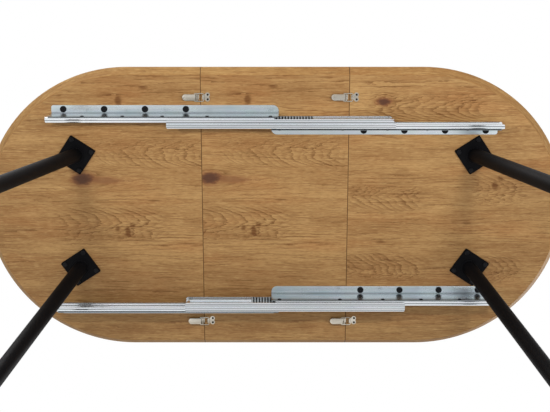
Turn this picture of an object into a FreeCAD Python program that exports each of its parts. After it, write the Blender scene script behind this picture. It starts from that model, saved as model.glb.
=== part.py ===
import FreeCAD, Part
import math
import os
import re
import Sketcher
from FreeCAD import Placement, Rotation, Vector

# Extending dining table. X is the long way, Y the short way (front is -Y), Z is up.
# The origin is on the floor under the middle of the table. All sizes in mm.

doc = FreeCAD.newDocument("extending_table")
dims = doc.addObject("Spreadsheet::Sheet", "Dims")

SIZES = [
    ("table_height", 750, "floor to the top of the boards"),
    ("table_width", 800, "front to rear, also the diameter of the round ends"),
    ("half_length", 600, "one half of the top, seam to round end"),
    ("leaf_length", 400, "seam to seam"),
    ("top_thickness", 25, "board thickness"),
    ("bevel_run", 17, "how far the bevel cuts in under the edge"),
    ("bevel_rise", 20, "how far the bevel climbs up the edge"),
    ("band_thickness", 1.2, "edge band"),
    ("leg_end_inset", 257, "table end to leg centre"),
    ("leg_side_inset", 238, "long edge to leg centre"),
    ("leg_azimuth", 33.9, "degrees from the long way, the way a leg leans out"),
    ("leg_splay", 11, "degrees from upright"),
    ("plate_side", 80, "leg plate, square"),
    ("plate_thickness", 5, "leg plate"),
    ("plate_corner", 3, "corner radius of the leg plate"),
    ("leg_diameter", 39, "leg tube outside"),
    ("leg_wall", 1.5, "leg tube wall"),
    ("glide_height", 4, "foot glide below the tube"),
    ("glide_plug", 18, "foot glide inside the tube"),
    ("glide_clearance", 0.1, "foot glide to tube wall"),
    ("leg_screw_spacing", 62, "square hole pattern of a leg plate"),
    ("leg_screw_head", 12, "head diameter"),
    ("leg_screw_head_height", 3.2, "head height"),
    ("leg_screw_shank", 5, "shank diameter"),
    ("leg_screw_reach", 18, "shank length above the head"),
    ("slide_inset", 140.5, "long edge to the middle of a slide"),
    ("bracket_length", 612, "angle bracket"),
    ("bracket_end_inset", 198, "table end to the outer end of a bracket"),
    ("bracket_steel", 2, "bracket sheet"),
    ("bracket_bend", 3.5, "outer bend radius of a bracket"),
    ("bracket_flange", 22, "outer face of the web to the flange edge"),
    ("bracket_drop", 50, "web height below the boards"),
    ("bracket_corner", 13, "corner radius at the inner end of the flange"),
    ("rail_length", 608, "rail on a bracket"),
    ("rail_overhang", 8, "rail past the outer end of its bracket"),
    ("rail_height", 34, "rail section"),
    ("rail_steel", 1.6, "rail sheet"),
    ("rail_gap", 1, "rail edge to the back of its channel"),
    ("channel_height", 45.7, "beam channel section"),
    ("channel_depth", 12.7, "beam channel section"),
    ("channel_steel", 1.6, "beam channel sheet"),
    ("channel_lip", 1.2, "inward lip at the mouth of a channel"),
    ("channel_bend", 2.4, "outer bend radius of a channel"),
    ("web_standoff", 3.8, "channel mouth to bracket web"),
    ("beam_length", 608, "middle beam"),
    ("beam_drop", 10, "boards to the top of a beam"),
    ("front_beam_x", 16, "middle of the front beam"),
    ("rear_beam_x", 55, "middle of the rear beam"),
    ("race_distance", 9, "back of the channel to the ball centres"),
    ("race_radius", 2.5, "ball groove"),
    ("race_depth", 0.4, "how deep the ball groove cuts into a rail"),
    ("outer_groove", 1.2, "half width of the rolled line outside a channel"),
    ("outer_groove_depth", 0.5, "rolled line outside a channel"),
    ("ball_clearance", 0.3, "ball to groove"),
    ("ball_pitch", 15.9, "ball to ball"),
    ("cage_length", 318, "ball cage"),
    ("cage_steel", 0.5, "ball cage sheet"),
    ("cage_clearance", 0.25, "ball cage to channel back"),
    ("pocket_clearance", 0.1, "ball to the edge of its pocket"),
    ("window_length", 8, "window in a ball cage"),
    ("window_height", 20, "window in a ball cage"),
    ("front_left_cage_x", -58, "middle of a ball cage"),
    ("front_right_cage_x", 79, "middle of a ball cage"),
    ("rear_left_cage_x", -81, "middle of a ball cage"),
    ("rear_right_cage_x", 93, "middle of a ball cage"),
    ("slide_screw_first", 240, "table middle to the first slide screw"),
    ("slide_screw_pitch", 110, "slide screw spacing"),
    ("slide_screw_count", 4, "slide screws in a bracket"),
    ("slide_screw_edge", 11, "flange edge to the screw line"),
    ("slide_screw_head", 17.5, "head diameter"),
    ("slide_screw_head_height", 2.4, "head height"),
    ("slide_screw_shank", 6, "shank diameter"),
    ("slide_screw_reach", 16, "shank length above the head"),
    ("hex_socket", 4, "hexagon socket across flats"),
    ("socket_depth", 1.4, "hexagon socket depth"),
    ("insert_diameter", 9, "threaded insert outside"),
    ("insert_length", 13, "threaded insert"),
    ("screw_clearance", 0.05, "screw to its thread, all round"),
    ("hole_clearance", 0.25, "screw to a sheet metal hole, all round"),
    ("hole_spare", 2, "extra depth of a blind hole"),
    ("latch_inset", 78, "long edge to the middle of a latch"),
    ("front_latch_shift", 0, "front latches, moved along X"),
    ("rear_latch_shift", 4.5, "rear latches, moved along X"),
    ("latch_sheet", 1, "latch sheet metal"),
    ("base_start", 46, "seam to the far end of the latch base"),
    ("base_end", 4, "seam to the near end of the latch base"),
    ("base_width", 14, "latch base"),
    ("pivot_x", 9, "seam to the lever pivot"),
    ("ear_reach", 4.5, "half width and free height of a base ear round the pivot"),
    ("ear_gap", 0.35, "base ear to lever side"),
    ("pivot_pin", 3, "lever pivot pin diameter"),
    ("pivot_clearance", 0.06, "lever hole to pin, all round"),
    ("lever_tip", 49, "seam to the tip of the lever"),
    ("lever_heel", 5, "seam to the heel of the lever sides"),
    ("lever_cover_end", 13.5, "seam to the near end of the lever's cover"),
    ("lever_width", 18, "lever outside"),
    ("lever_tip_width", 11, "lever at its tip"),
    ("lever_taper", 8, "length of the tapered tip"),
    ("lever_drop", 10, "boards to the outside of the lever"),
    ("lever_side", 5.6, "depth of the lever sides"),
    ("bail_pivot", 7, "lever pivot to bail pivot"),
    ("bail_wire", 2.4, "bail wire diameter"),
    ("bail_gap", 0.4, "lever side to bail"),
    ("bail_corner", 4, "bend radius of the bail"),
    ("hook_start", 4.5, "seam to the keeper hook"),
    ("hook_drop", 5, "boards to the outside of the hook"),
    ("hook_length", 4.2, "keeper hook lip"),
    ("hook_width", 12, "keeper hook"),
    ("hook_clearance", 0.3, "bail to hook lip"),
    ("keeper_end", 25, "seam to the far end of the keeper"),
    ("keeper_width", 25, "keeper plate"),
    ("keeper_neck", 12, "seam to the shoulder of the keeper plate"),
    ("keeper_corner", 3, "corner radius of the keeper plate"),
    ("keeper_hole_x", 19.3, "seam to the keeper screws"),
    ("keeper_hole_spacing", 12.7, "keeper screws"),
    ("base_hole_near", 21, "seam to the near base screw"),
    ("base_hole_far", 40, "seam to the far base screw"),
    ("latch_screw_head", 5.6, "head diameter"),
    ("latch_screw_head_height", 1.4, "head height"),
    ("latch_screw_shank", 3, "shank diameter"),
    ("latch_screw_reach", 12, "shank length above the head"),
    ("dowel_diameter", 8, "leaf dowel"),
    ("dowel_length", 34, "leaf dowel"),
    ("dowel_reach", 12, "how far a dowel stands out of the leaf"),
    ("dowel_inset", 35, "long edge to the outer dowels"),
    ("dowel_clearance", 0.3, "dowel to its loose hole, all round"),
]

for row, (alias, value, note) in enumerate(SIZES, start=1):
    dims.set(f"A{row}", note)
    dims.set(f"B{row}", str(value))
    dims.setAlias(f"B{row}", alias)
doc.recompute()
ALIASES = {alias for alias, value, note in SIZES}

# Places that several pieces share, written with the names of the sheet.
UNDERSIDE = "(table_height - top_thickness)"
HALF_WIDTH = "(table_width / 2)"
SEAM = "(leaf_length / 2)"
TABLE_END = "(half_length + leaf_length / 2)"
ARC_CENTRE = "(half_length + leaf_length / 2 - table_width / 2)"
BRACKET_START = f"({TABLE_END} - bracket_end_inset)"
WEB_INSIDE = "(channel_depth + web_standoff)"
WEB_OUTSIDE = f"({WEB_INSIDE} + bracket_steel)"
FLANGE_EDGE = f"({WEB_OUTSIDE} + bracket_flange)"
SCREW_LINE = f"({FLANGE_EDGE} - slide_screw_edge)"
BEAM_MIDDLE = "(-(beam_drop + channel_height / 2))"
RACE_HEIGHT = "(rail_height / 2 - race_depth + race_radius)"
BALL_RADIUS = "(race_radius - ball_clearance)"
LATCH_AXIS = "(hook_drop + hook_clearance + bail_wire / 2)"
BAIL_HALF = "(lever_width / 2 + bail_gap + bail_wire / 2)"

SIDES = {"front": -1, "rear": 1}
HANDS = {"left": -1, "right": 1}

nodes = []


# ---------------------------------------------------------------- small helpers

def cell(text):
    """Turn the sheet's names in an expression into references to the sheet."""
    def refer(match):
        word = match.group()
        return f"Dims.{word}" if word in ALIASES else word
    return re.sub(r"[a-z_]+", refer, str(text))


def num(text):
    """The present value of an expression."""
    return float(dims.evalExpression(cell(text)))


def bind(item, path, text):
    """Tie one property of a document object to an expression."""
    item.setExpression(path, cell(text))


def place(item, x="0", y="0", z="0", turn="0"):
    """Put a sub-part where it belongs: a shift, and a turn about Z in degrees."""
    spot = Vector(num(x), num(y), num(z))
    item.Placement = Placement(spot, Rotation(Vector(0, 0, 1), num(turn)))
    bind(item, "Placement.Base.x", x)
    bind(item, "Placement.Base.y", y)
    bind(item, "Placement.Base.z", z)
    bind(item, "Placement.Rotation.Angle", turn)


def new_body(label, keep=True):
    """An empty body; a kept one becomes a node of its own."""
    body = doc.addObject("PartDesign::Body", label)
    body.Label = label
    body.AllowCompound = True
    if keep:
        nodes.append(body)
    return body


def origin_plane(body, role):
    for item in body.Origin.OriginFeatures:
        if item.Role == role:
            return item
    raise ValueError(role)


def new_sketch(body, role="XY_Plane", lift="0"):
    """A sketch on one of the body's own planes, raised along the plane's normal."""
    sketch = body.newObject("Sketcher::SketchObject", f"{body.Name}_sketch")
    sketch.AttachmentSupport = [(origin_plane(body, role), "")]
    sketch.MapMode = "FlatFace"
    sketch.AttachmentOffset = Placement(Vector(0, 0, num(lift)), Rotation())
    bind(sketch, "AttachmentOffset.Base.z", lift)
    return sketch


def pin_point(sketch, edge, end, x, y):
    """Fix one point of a sketch at two expressions."""
    for kind, text in (("DistanceX", x), ("DistanceY", y)):
        index = sketch.addConstraint(Sketcher.Constraint(kind, -1, 1, edge, end, num(text)))
        bind(sketch, f"Constraints[{index}]", text)


def set_radius(sketch, edge, radius):
    index = sketch.addConstraint(Sketcher.Constraint("Radius", edge, num(radius)))
    bind(sketch, f"Constraints[{index}]", radius)


def arc_through(start, end, radius, turn):
    """Arc from start to end; turn is 1 for a left-hand curve and -1 for a right-hand one."""
    chord = end - start
    half = chord.Length / 2
    rise = math.sqrt(max(radius ** 2 - half ** 2, 0.0))
    normal = Vector(-chord.y, chord.x, 0).normalize()
    centre = (start + end) * 0.5 + normal * (turn * rise)
    first, last = (start, end) if turn > 0 else (end, start)
    from_angle = math.atan2(first.y - centre.y, first.x - centre.x)
    to_angle = math.atan2(last.y - centre.y, last.x - centre.x)
    return Part.ArcOfCircle(Part.Circle(centre, Vector(0, 0, 1), radius), from_angle, to_angle)


def draw_path(sketch, corners, closed=True):
    """Lines and arcs through corners: (x, y), or (x, y, radius, turn) to curve to the next."""
    spots = [Vector(num(corner[0]), num(corner[1]), 0) for corner in corners]
    count = len(corners) if closed else len(corners) - 1
    ends = []
    for index in range(count):
        start = spots[index]
        end = spots[(index + 1) % len(spots)]
        corner = corners[index]
        if len(corner) == 2:
            edge = sketch.addGeometry(Part.LineSegment(start, end))
            ends.append((edge, 1, 2))
            continue
        radius, turn = corner[2], corner[3]
        edge = sketch.addGeometry(arc_through(start, end, num(radius), turn))
        ends.append((edge, 1, 2) if turn > 0 else (edge, 2, 1))
        set_radius(sketch, edge, radius)
    for index, (edge, first, last) in enumerate(ends):
        pin_point(sketch, edge, first, corners[index][0], corners[index][1])
        if closed or index + 1 < count:
            following = ends[(index + 1) % len(ends)]
            sketch.addConstraint(Sketcher.Constraint("Coincident", edge, last, following[0], following[1]))
        else:
            pin_point(sketch, edge, last, corners[-1][0], corners[-1][1])
    return sketch


def draw_circle(sketch, x, y, radius):
    circle = Part.Circle(Vector(num(x), num(y), 0), Vector(0, 0, 1), num(radius))
    edge = sketch.addGeometry(circle)
    pin_point(sketch, edge, 3, x, y)
    set_radius(sketch, edge, radius)
    return sketch


def pad(body, sketch, length, reverse=False):
    feature = body.newObject("PartDesign::Pad", f"{body.Name}_pad")
    feature.Profile = sketch
    feature.Reversed = reverse
    bind(feature, "Length", length)
    return feature


def pocket(body, sketch, length, reverse=False):
    """Cut a sketch out of the body; without reverse it cuts against the sketch's normal."""
    doc.recompute()
    before = body.Shape.Volume
    feature = body.newObject("PartDesign::Pocket", f"{body.Name}_pocket")
    feature.Profile = sketch
    feature.Reversed = reverse
    bind(feature, "Length", length)
    doc.recompute()
    if not body.Shape.Volume < before:
        raise RuntimeError(f"a pocket of {body.Label} cuts nothing")
    return feature


def loft(body, kind, first, last):
    feature = body.newObject(f"PartDesign::{kind}", f"{body.Name}_loft")
    feature.Profile = first
    feature.Sections = [last]
    feature.Ruled = True
    return feature


def slab(body, corners, low, thickness, role="XZ_Plane", cut=False):
    """Pad or cut a path drawn in X and Z, from Y = low up to low + thickness."""
    sketch = draw_path(new_sketch(body, role, f"-({low}) - ({thickness})"), corners)
    if cut:
        return pocket(body, sketch, thickness, reverse=True)
    return pad(body, sketch, thickness)


def rectangle(x_low, x_high, y_low, y_high):
    return [(x_low, y_low), (x_high, y_low), (x_high, y_high), (x_low, y_high)]


def rounded_rectangle(half_x, half_y, radius):
    """Rectangle about the middle with four rounded corners."""
    return [
        (f"-{half_x} + {radius}", f"-{half_y}"),
        (f"{half_x} - {radius}", f"-{half_y}", radius, 1),
        (half_x, f"-{half_y} + {radius}"),
        (half_x, f"{half_y} - {radius}", radius, 1),
        (f"{half_x} - {radius}", half_y),
        (f"-{half_x} + {radius}", half_y, radius, 1),
        (f"-{half_x}", f"{half_y} - {radius}"),
        (f"-{half_x}", f"-{half_y} + {radius}", radius, 1),
    ]


def group(label, master, places):
    """Separate copies of one piece, kept as one node: each place is (x, y, z)."""
    links = []
    for x, y, z in places:
        link = doc.addObject("App::Link", f"{label}_piece")
        link.LinkedObject = master
        place(link, x, y, z)
        links.append(link)
    compound = doc.addObject("Part::Compound", label)
    compound.Label = label
    compound.Links = links
    nodes.append(compound)
    return compound


def turned_master(name, profile):
    """A piece turned about its own Z axis, used as the pattern for groups."""
    body = new_body(name, keep=False)
    sketch = draw_path(new_sketch(body, "XZ_Plane"), profile)
    feature = body.newObject("PartDesign::Revolution", f"{name}_turn")
    feature.Profile = sketch
    feature.ReferenceAxis = (sketch, ["V_Axis"])
    feature.Angle = 360
    return body


# ---------------------------------------------------------------- where things go

def leg_centre(hand, side):
    x = f"({hand} * ({TABLE_END} - leg_end_inset))"
    y = f"({side} * ({HALF_WIDTH} - leg_side_inset))"
    return x, y


def leg_turn(hand, side):
    """Direction in which a leg leans out, in degrees about Z."""
    return f"({side} * leg_azimuth)" if hand > 0 else f"(180 - {side} * leg_azimuth)"


def leg_screw_spots(hand):
    """The eight leg screws of one half."""
    spots = []
    for side in SIDES.values():
        x, y = leg_centre(hand, side)
        turn = leg_turn(hand, side)
        for along in (-1, 1):
            for across in (-1, 1):
                dx = f"({along} * cos({turn}) - {across} * sin({turn}))"
                dy = f"({along} * sin({turn}) + {across} * cos({turn}))"
                spots.append((f"{x} + leg_screw_spacing / 2 * {dx}",
                              f"{y} + leg_screw_spacing / 2 * {dy}"))
    return spots


def slide_y(side, offset="0"):
    """Y of a line in a slide; the offset points away from the table's middle."""
    return f"({side} * ({HALF_WIDTH} - slide_inset + {offset}))"


def bracket_side(hand):
    """1 where a bracket's flange points away from the table's middle, -1 where it points in."""
    return -hand


def slide_screw_spots(hand):
    """The slide screws of one half: two brackets with a row each."""
    spots = []
    for side in SIDES.values():
        y = slide_y(side, f"{bracket_side(hand)} * {SCREW_LINE}")
        for index in range(int(num("slide_screw_count"))):
            spots.append((f"{hand} * (slide_screw_first + {index} * slide_screw_pitch)", y))
    return spots


def latch_spot(seam_hand, side):
    """Middle of a latch, on its seam."""
    shift = "front_latch_shift" if side < 0 else "rear_latch_shift"
    return f"({seam_hand} * {SEAM} + {shift})", f"({side} * ({HALF_WIDTH} - latch_inset))"


def base_screw_spots(seam_hand):
    """Two screws under each lever of one seam."""
    spots = []
    for side in SIDES.values():
        x, y = latch_spot(seam_hand, side)
        for hole in ("base_hole_near", "base_hole_far"):
            spots.append((f"{x} - {hole}", y))
    return spots


def keeper_screw_spots(seam_hand):
    """Two screws in each keeper of one seam."""
    spots = []
    for side in SIDES.values():
        x, y = latch_spot(seam_hand, side)
        for across in (-1, 1):
            spots.append((f"{x} + keeper_hole_x", f"{y} + {across} * keeper_hole_spacing / 2"))
    return spots


def dowel_lines():
    """Y of the dowels along one seam."""
    edge = f"({HALF_WIDTH} - dowel_inset)"
    return [f"-{edge}", f"-{edge} / 3", f"{edge} / 3", edge]


# ---------------------------------------------------------------- boards and edge bands

def half_outline(hand, inset):
    """D shape of one half, drawn in from its full size by the inset."""
    seam = f"{hand} * ({SEAM} + {inset[0]})"
    side = f"({HALF_WIDTH} - {inset[1]})"
    return [
        (seam, f"-{side}"),
        (f"{hand} * {ARC_CENTRE}", f"-{side}", side, hand),
        (f"{hand} * ({ARC_CENTRE} + {side})", "0", side, hand),
        (f"{hand} * {ARC_CENTRE}", side),
        (seam, side),
    ]


def leaf_outline(hand, inset):
    return rectangle(f"-{SEAM} + {inset[0]}", f"{SEAM} - {inset[0]}",
                     f"-{HALF_WIDTH} + {inset[1]}", f"{HALF_WIDTH} - {inset[1]}")


def bevelled_block(body, outline, hand, inset, cut):
    """Upright edge above a bevel: added to the body, or cut out of it."""
    def draw(run, lift):
        sketch = new_sketch(body, "XY_Plane", f"{UNDERSIDE} + {lift}")
        return draw_path(sketch, outline(hand, (inset, f"({inset} + {run})")))
    if cut:
        pocket(body, draw("0", "top_thickness"), "top_thickness - bevel_rise")
        loft(body, "SubtractiveLoft", draw("0", "bevel_rise"), draw("bevel_run", "0"))
    else:
        pad(body, draw("0", "bevel_rise"), "top_thickness - bevel_rise")
        loft(body, "AdditiveLoft", draw("0", "bevel_rise"), draw("bevel_run", "0"))


def drill_underside(body, spots, radius, depth):
    """Blind holes up into a board."""
    sketch = new_sketch(body, "XY_Plane", UNDERSIDE)
    for x, y in spots:
        draw_circle(sketch, x, y, radius)
    pocket(body, sketch, depth, reverse=True)


def drill_seam(body, x, reverse, radius, depth):
    """Blind dowel holes into the upright face at a seam."""
    sketch = new_sketch(body, "YZ_Plane", x)
    for y in dowel_lines():
        draw_circle(sketch, y, f"{UNDERSIDE} + top_thickness / 2", radius)
    pocket(body, sketch, depth, reverse)


def drill_for_screws(body, spots, kind):
    reach = f"{kind}_reach - {sheet_under(kind)} + hole_spare"
    drill_underside(body, spots, f"{kind}_shank / 2 + screw_clearance", reach)


def sheet_under(kind):
    """Thickness of the metal that a kind of screw passes through."""
    sheets = {
        "leg_screw": "plate_thickness",
        "slide_screw": "bracket_steel",
        "latch_screw": "latch_sheet",
    }
    return sheets[kind]


def make_half_board(name, hand):
    panel = new_body(f"{name}_top_panel")
    bevelled_block(panel, half_outline, hand, "band_thickness", cut=False)
    drill_for_screws(panel, leg_screw_spots(hand), "leg_screw")
    insert_hole = "insert_diameter / 2 + screw_clearance"
    drill_underside(panel, slide_screw_spots(hand), insert_hole, "slide_screw_reach + hole_spare")
    latch_spots = base_screw_spots(hand) if hand < 0 else keeper_screw_spots(hand)
    drill_for_screws(panel, latch_spots, "latch_screw")

    band = new_body(f"{name}_edge_band")
    bevelled_block(band, half_outline, hand, "0", cut=False)
    bevelled_block(band, half_outline, hand, "band_thickness", cut=True)

    hole = "dowel_diameter / 2 + dowel_clearance"
    for board in (panel, band):
        drill_seam(board, f"{hand} * {SEAM}", hand > 0, hole, "dowel_reach + hole_spare")


def make_leaf_board():
    panel = new_body("centre_leaf_panel")
    bevelled_block(panel, leaf_outline, 1, "band_thickness", cut=False)
    drill_for_screws(panel, keeper_screw_spots(-1), "latch_screw")
    drill_for_screws(panel, base_screw_spots(1), "latch_screw")

    band = new_body("leaf_edge_band")
    bevelled_block(band, leaf_outline, 1, "0", cut=False)
    bevelled_block(band, leaf_outline, 1, "band_thickness", cut=True)

    hole = "dowel_diameter / 2 + screw_clearance"
    depth = "dowel_length - dowel_reach + hole_spare"
    for board in (panel, band):
        for hand in HANDS.values():
            drill_seam(board, f"{hand} * {SEAM}", hand < 0, hole, depth)


def make_dowels():
    """Glued into the leaf, standing out into loose holes in the halves."""
    dowels = new_body("leaf_dowels")
    for hand in HANDS.values():
        low = f"{SEAM} + dowel_reach - dowel_length"
        sketch = new_sketch(dowels, "YZ_Plane", f"{hand} * ({low})")
        for y in dowel_lines():
            draw_circle(sketch, y, f"{UNDERSIDE} + top_thickness / 2", "dowel_diameter / 2")
        pad(dowels, sketch, "dowel_length", reverse=hand < 0)


# ---------------------------------------------------------------- legs

def lean(body, feature):
    """Make a pad follow the leg's lean while its ends stay level."""
    feature.UseCustomVector = True
    feature.AlongSketchNormal = True
    feature.Direction = Vector(num("tan(leg_splay)"), 0, -1)
    bind(feature, "Direction.x", "tan(leg_splay)")


def make_leg(name, hand, side):
    x, y = leg_centre(hand, side)
    turn = leg_turn(hand, side)

    plate = new_body(f"{name}_leg_plate")
    pad(plate, draw_path(new_sketch(plate, "XY_Plane", "-plate_thickness"),
                         rounded_rectangle("plate_side / 2", "plate_side / 2", "plate_corner")),
        "plate_thickness")
    holes = new_sketch(plate, "XY_Plane", "0")
    for along in (-1, 1):
        for across in (-1, 1):
            draw_circle(holes, f"{along} * leg_screw_spacing / 2", f"{across} * leg_screw_spacing / 2",
                        "leg_screw_shank / 2 + hole_clearance")
    pocket(plate, holes, "plate_thickness")

    tube = new_body(f"{name}_leg_tube")
    top = "-plate_thickness"
    ring = new_sketch(tube, "XY_Plane", top)
    draw_circle(ring, "0", "0", "leg_diameter / 2")
    draw_circle(ring, "0", "0", "leg_diameter / 2 - leg_wall")
    lean(tube, pad(tube, ring, f"{UNDERSIDE} - plate_thickness - glide_height"))

    glide = new_body(f"{name}_foot_glide")
    bore = "(leg_diameter / 2 - leg_wall - glide_clearance)"
    foot_shift = f"tan(leg_splay) * ({UNDERSIDE} - plate_thickness - glide_height)"
    plug_shift = f"tan(leg_splay) * ({UNDERSIDE} - plate_thickness - glide_height - glide_plug)"
    plug = draw_circle(new_sketch(glide, "XY_Plane", f"-{UNDERSIDE} + glide_height + glide_plug"),
                       plug_shift, "0", bore)
    lean(glide, pad(glide, plug, "glide_plug"))
    disc = draw_circle(new_sketch(glide, "XY_Plane", f"-{UNDERSIDE} + glide_height"),
                       foot_shift, "0", "leg_diameter / 2")
    lean(glide, pad(glide, disc, "glide_height"))

    for piece in (plate, tube, glide):
        place(piece, x, y, UNDERSIDE, turn)


# ---------------------------------------------------------------- telescopic slides

def section(body, corners, start, length, flip):
    """Run a section along X; flip mirrors the section's own sideways direction."""
    sided = []
    for corner in corners:
        side_point = f"{flip} * ({corner[0]})"
        if len(corner) == 2:
            sided.append((side_point, corner[1]))
        else:
            sided.append((side_point, corner[1], corner[2], corner[3] * flip))
    sketch = draw_path(new_sketch(body, "YZ_Plane", start), sided)
    return pad(body, sketch, length)


def make_bracket(name, hand, side):
    """Angle steel: a flange under the board and a web that carries the rail."""
    bracket = new_body(f"{name}_slide_bracket")
    flip = side * bracket_side(hand)
    start = f"-{BRACKET_START}" if hand < 0 else f"{BRACKET_START} - bracket_length"
    inner = "(bracket_bend - bracket_steel)"
    section(bracket, [
        (WEB_INSIDE, "-bracket_drop"),
        (WEB_OUTSIDE, "-bracket_drop"),
        (WEB_OUTSIDE, f"-bracket_steel - {inner}", inner, -1),
        (f"{WEB_OUTSIDE} + {inner}", "-bracket_steel"),
        (FLANGE_EDGE, "-bracket_steel"),
        (FLANGE_EDGE, "0"),
        (f"{WEB_INSIDE} + bracket_bend", "0", "bracket_bend", 1),
        (WEB_INSIDE, "-bracket_bend"),
    ], start, "bracket_length", flip)

    holes = new_sketch(bracket, "XY_Plane", "0")
    for index in range(int(num("slide_screw_count"))):
        draw_circle(holes, f"{hand} * (slide_screw_first + {index} * slide_screw_pitch)",
                    f"{flip} * {SCREW_LINE}", "slide_screw_shank / 2 + hole_clearance")
    pocket(bracket, holes, "bracket_steel")

    inner_end = f"({BRACKET_START} - bracket_length)"
    tip = f"{hand} * {inner_end}"
    corner = draw_path(new_sketch(bracket, "XY_Plane", "0"), [
        (tip, f"{flip} * {FLANGE_EDGE}"),
        (tip, f"{flip} * ({FLANGE_EDGE} - bracket_corner)", "bracket_corner", -hand * flip),
        (f"{hand} * ({inner_end} + bracket_corner)", f"{flip} * {FLANGE_EDGE}"),
    ])
    pocket(bracket, corner, "bracket_steel")
    place(bracket, "0", slide_y(side), UNDERSIDE)


def race_half_width(depth):
    """Half width of a ball groove that is cut to a depth."""
    return f"sqrt(race_radius ^ 2 - (race_radius - {depth}) ^ 2)"


def make_rail(name, hand, side):
    """Small channel on the bracket web, grooved for the balls on both edges."""
    rail = new_body(f"{name}_slide_rail")
    flip = side * bracket_side(hand)
    outer = f"({BRACKET_START} + rail_overhang)"
    start = f"-{outer}" if hand < 0 else f"{outer} - rail_length"
    half = "(rail_height / 2)"
    edge = "(channel_steel + rail_gap)"
    groove = race_half_width("race_depth")
    section(rail, [
        (WEB_INSIDE, f"-{half}"),
        (WEB_INSIDE, half),
        (f"race_distance + {groove}", half, "race_radius", -1),
        (f"race_distance - {groove}", half),
        (edge, half),
        (edge, f"{half} - rail_steel"),
        (f"{WEB_INSIDE} - rail_steel", f"{half} - rail_steel"),
        (f"{WEB_INSIDE} - rail_steel", f"-{half} + rail_steel"),
        (edge, f"-{half} + rail_steel"),
        (edge, f"-{half}"),
        (f"race_distance - {groove}", f"-{half}", "race_radius", -1),
        (f"race_distance + {groove}", f"-{half}"),
    ], start, "rail_length", flip)
    place(rail, "0", slide_y(side), f"{UNDERSIDE} + {BEAM_MIDDLE}")


def make_channel(name, hand, side):
    """Half of a middle beam, open towards its own rail."""
    channel = new_body(f"{name}_beam_channel")
    flip = side * bracket_side(hand)
    half = "(channel_height / 2)"
    roof = f"({half} - channel_steel)"
    groove = race_half_width(f"({RACE_HEIGHT} + race_radius - {roof})")
    lip = "(channel_depth - channel_steel)"
    middle = "front_beam_x" if side < 0 else "rear_beam_x"
    section(channel, [
        ("0", f"-{half} + channel_bend"),
        ("0", f"{half} - channel_bend", "channel_bend", -1),
        ("channel_bend", half),
        ("race_distance - outer_groove", half),
        ("race_distance", f"{half} - outer_groove_depth"),
        ("race_distance + outer_groove", half),
        ("channel_depth", half),
        ("channel_depth", f"{roof} - channel_lip"),
        (lip, f"{roof} - channel_lip"),
        (lip, roof),
        (f"race_distance + {groove}", roof, "race_radius", 1),
        (f"race_distance - {groove}", roof),
        ("channel_steel", roof),
        ("channel_steel", f"-{roof}"),
        (f"race_distance - {groove}", f"-{roof}", "race_radius", 1),
        (f"race_distance + {groove}", f"-{roof}"),
        (lip, f"-{roof}"),
        (lip, f"-{roof} + channel_lip"),
        ("channel_depth", f"-{roof} + channel_lip"),
        ("channel_depth", f"-{half}"),
        ("race_distance + outer_groove", f"-{half}"),
        ("race_distance", f"-{half} + outer_groove_depth"),
        ("race_distance - outer_groove", f"-{half}"),
        ("channel_bend", f"-{half}", "channel_bend", -1),
    ], f"{middle} - beam_length / 2", "beam_length", flip)
    place(channel, "0", slide_y(side), f"{UNDERSIDE} + {BEAM_MIDDLE}")


def make_cage(name, hand, side, ball):
    """Thin cage between rail and channel, with its balls in pockets along both edges."""
    cage = new_body(f"{name}_cage_strip", keep=False)
    flip = side * bracket_side(hand)
    middle = f"{name}_cage_x"
    back = "(channel_steel + cage_clearance)"
    reach = f"(race_distance + {BALL_RADIUS})"
    top = f"({RACE_HEIGHT} + cage_steel / 2)"
    section(cage, [
        (back, f"-{top}"),
        (reach, f"-{top}"),
        (reach, f"-{top} + cage_steel"),
        (f"{back} + cage_steel", f"-{top} + cage_steel"),
        (f"{back} + cage_steel", f"{top} - cage_steel"),
        (reach, f"{top} - cage_steel"),
        (reach, top),
        (back, top),
    ], f"{middle} - cage_length / 2", "cage_length", flip)

    count = int(num("cage_length / ball_pitch"))
    pockets = new_sketch(cage, "XY_Plane", top)
    windows = new_sketch(cage, "XZ_Plane", f"-{flip} * {back}")
    spots = []
    for index in range(count):
        x = f"({middle} + ({index} - {(count - 1) / 2}) * ball_pitch)"
        draw_circle(pockets, x, f"{flip} * race_distance", f"{BALL_RADIUS} + pocket_clearance")
        for level in (-1, 1):
            spots.append((x, slide_y(side, f"{bracket_side(hand)} * race_distance"),
                          f"{UNDERSIDE} + {BEAM_MIDDLE} + {level} * {RACE_HEIGHT}"))
        draw_path(windows, rectangle(f"{x} - window_length / 2", f"{x} + window_length / 2",
                                     "-window_height / 2", "window_height / 2"))
    pocket(cage, pockets, f"2 * {top}")
    pocket(cage, windows, "cage_steel", reverse=flip < 0)
    place(cage, "0", slide_y(side), f"{UNDERSIDE} + {BEAM_MIDDLE}")
    whole = group(f"{name}_ball_cage", ball, spots)
    whole.Links = [cage] + whole.Links


# ---------------------------------------------------------------- toggle latches

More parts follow.
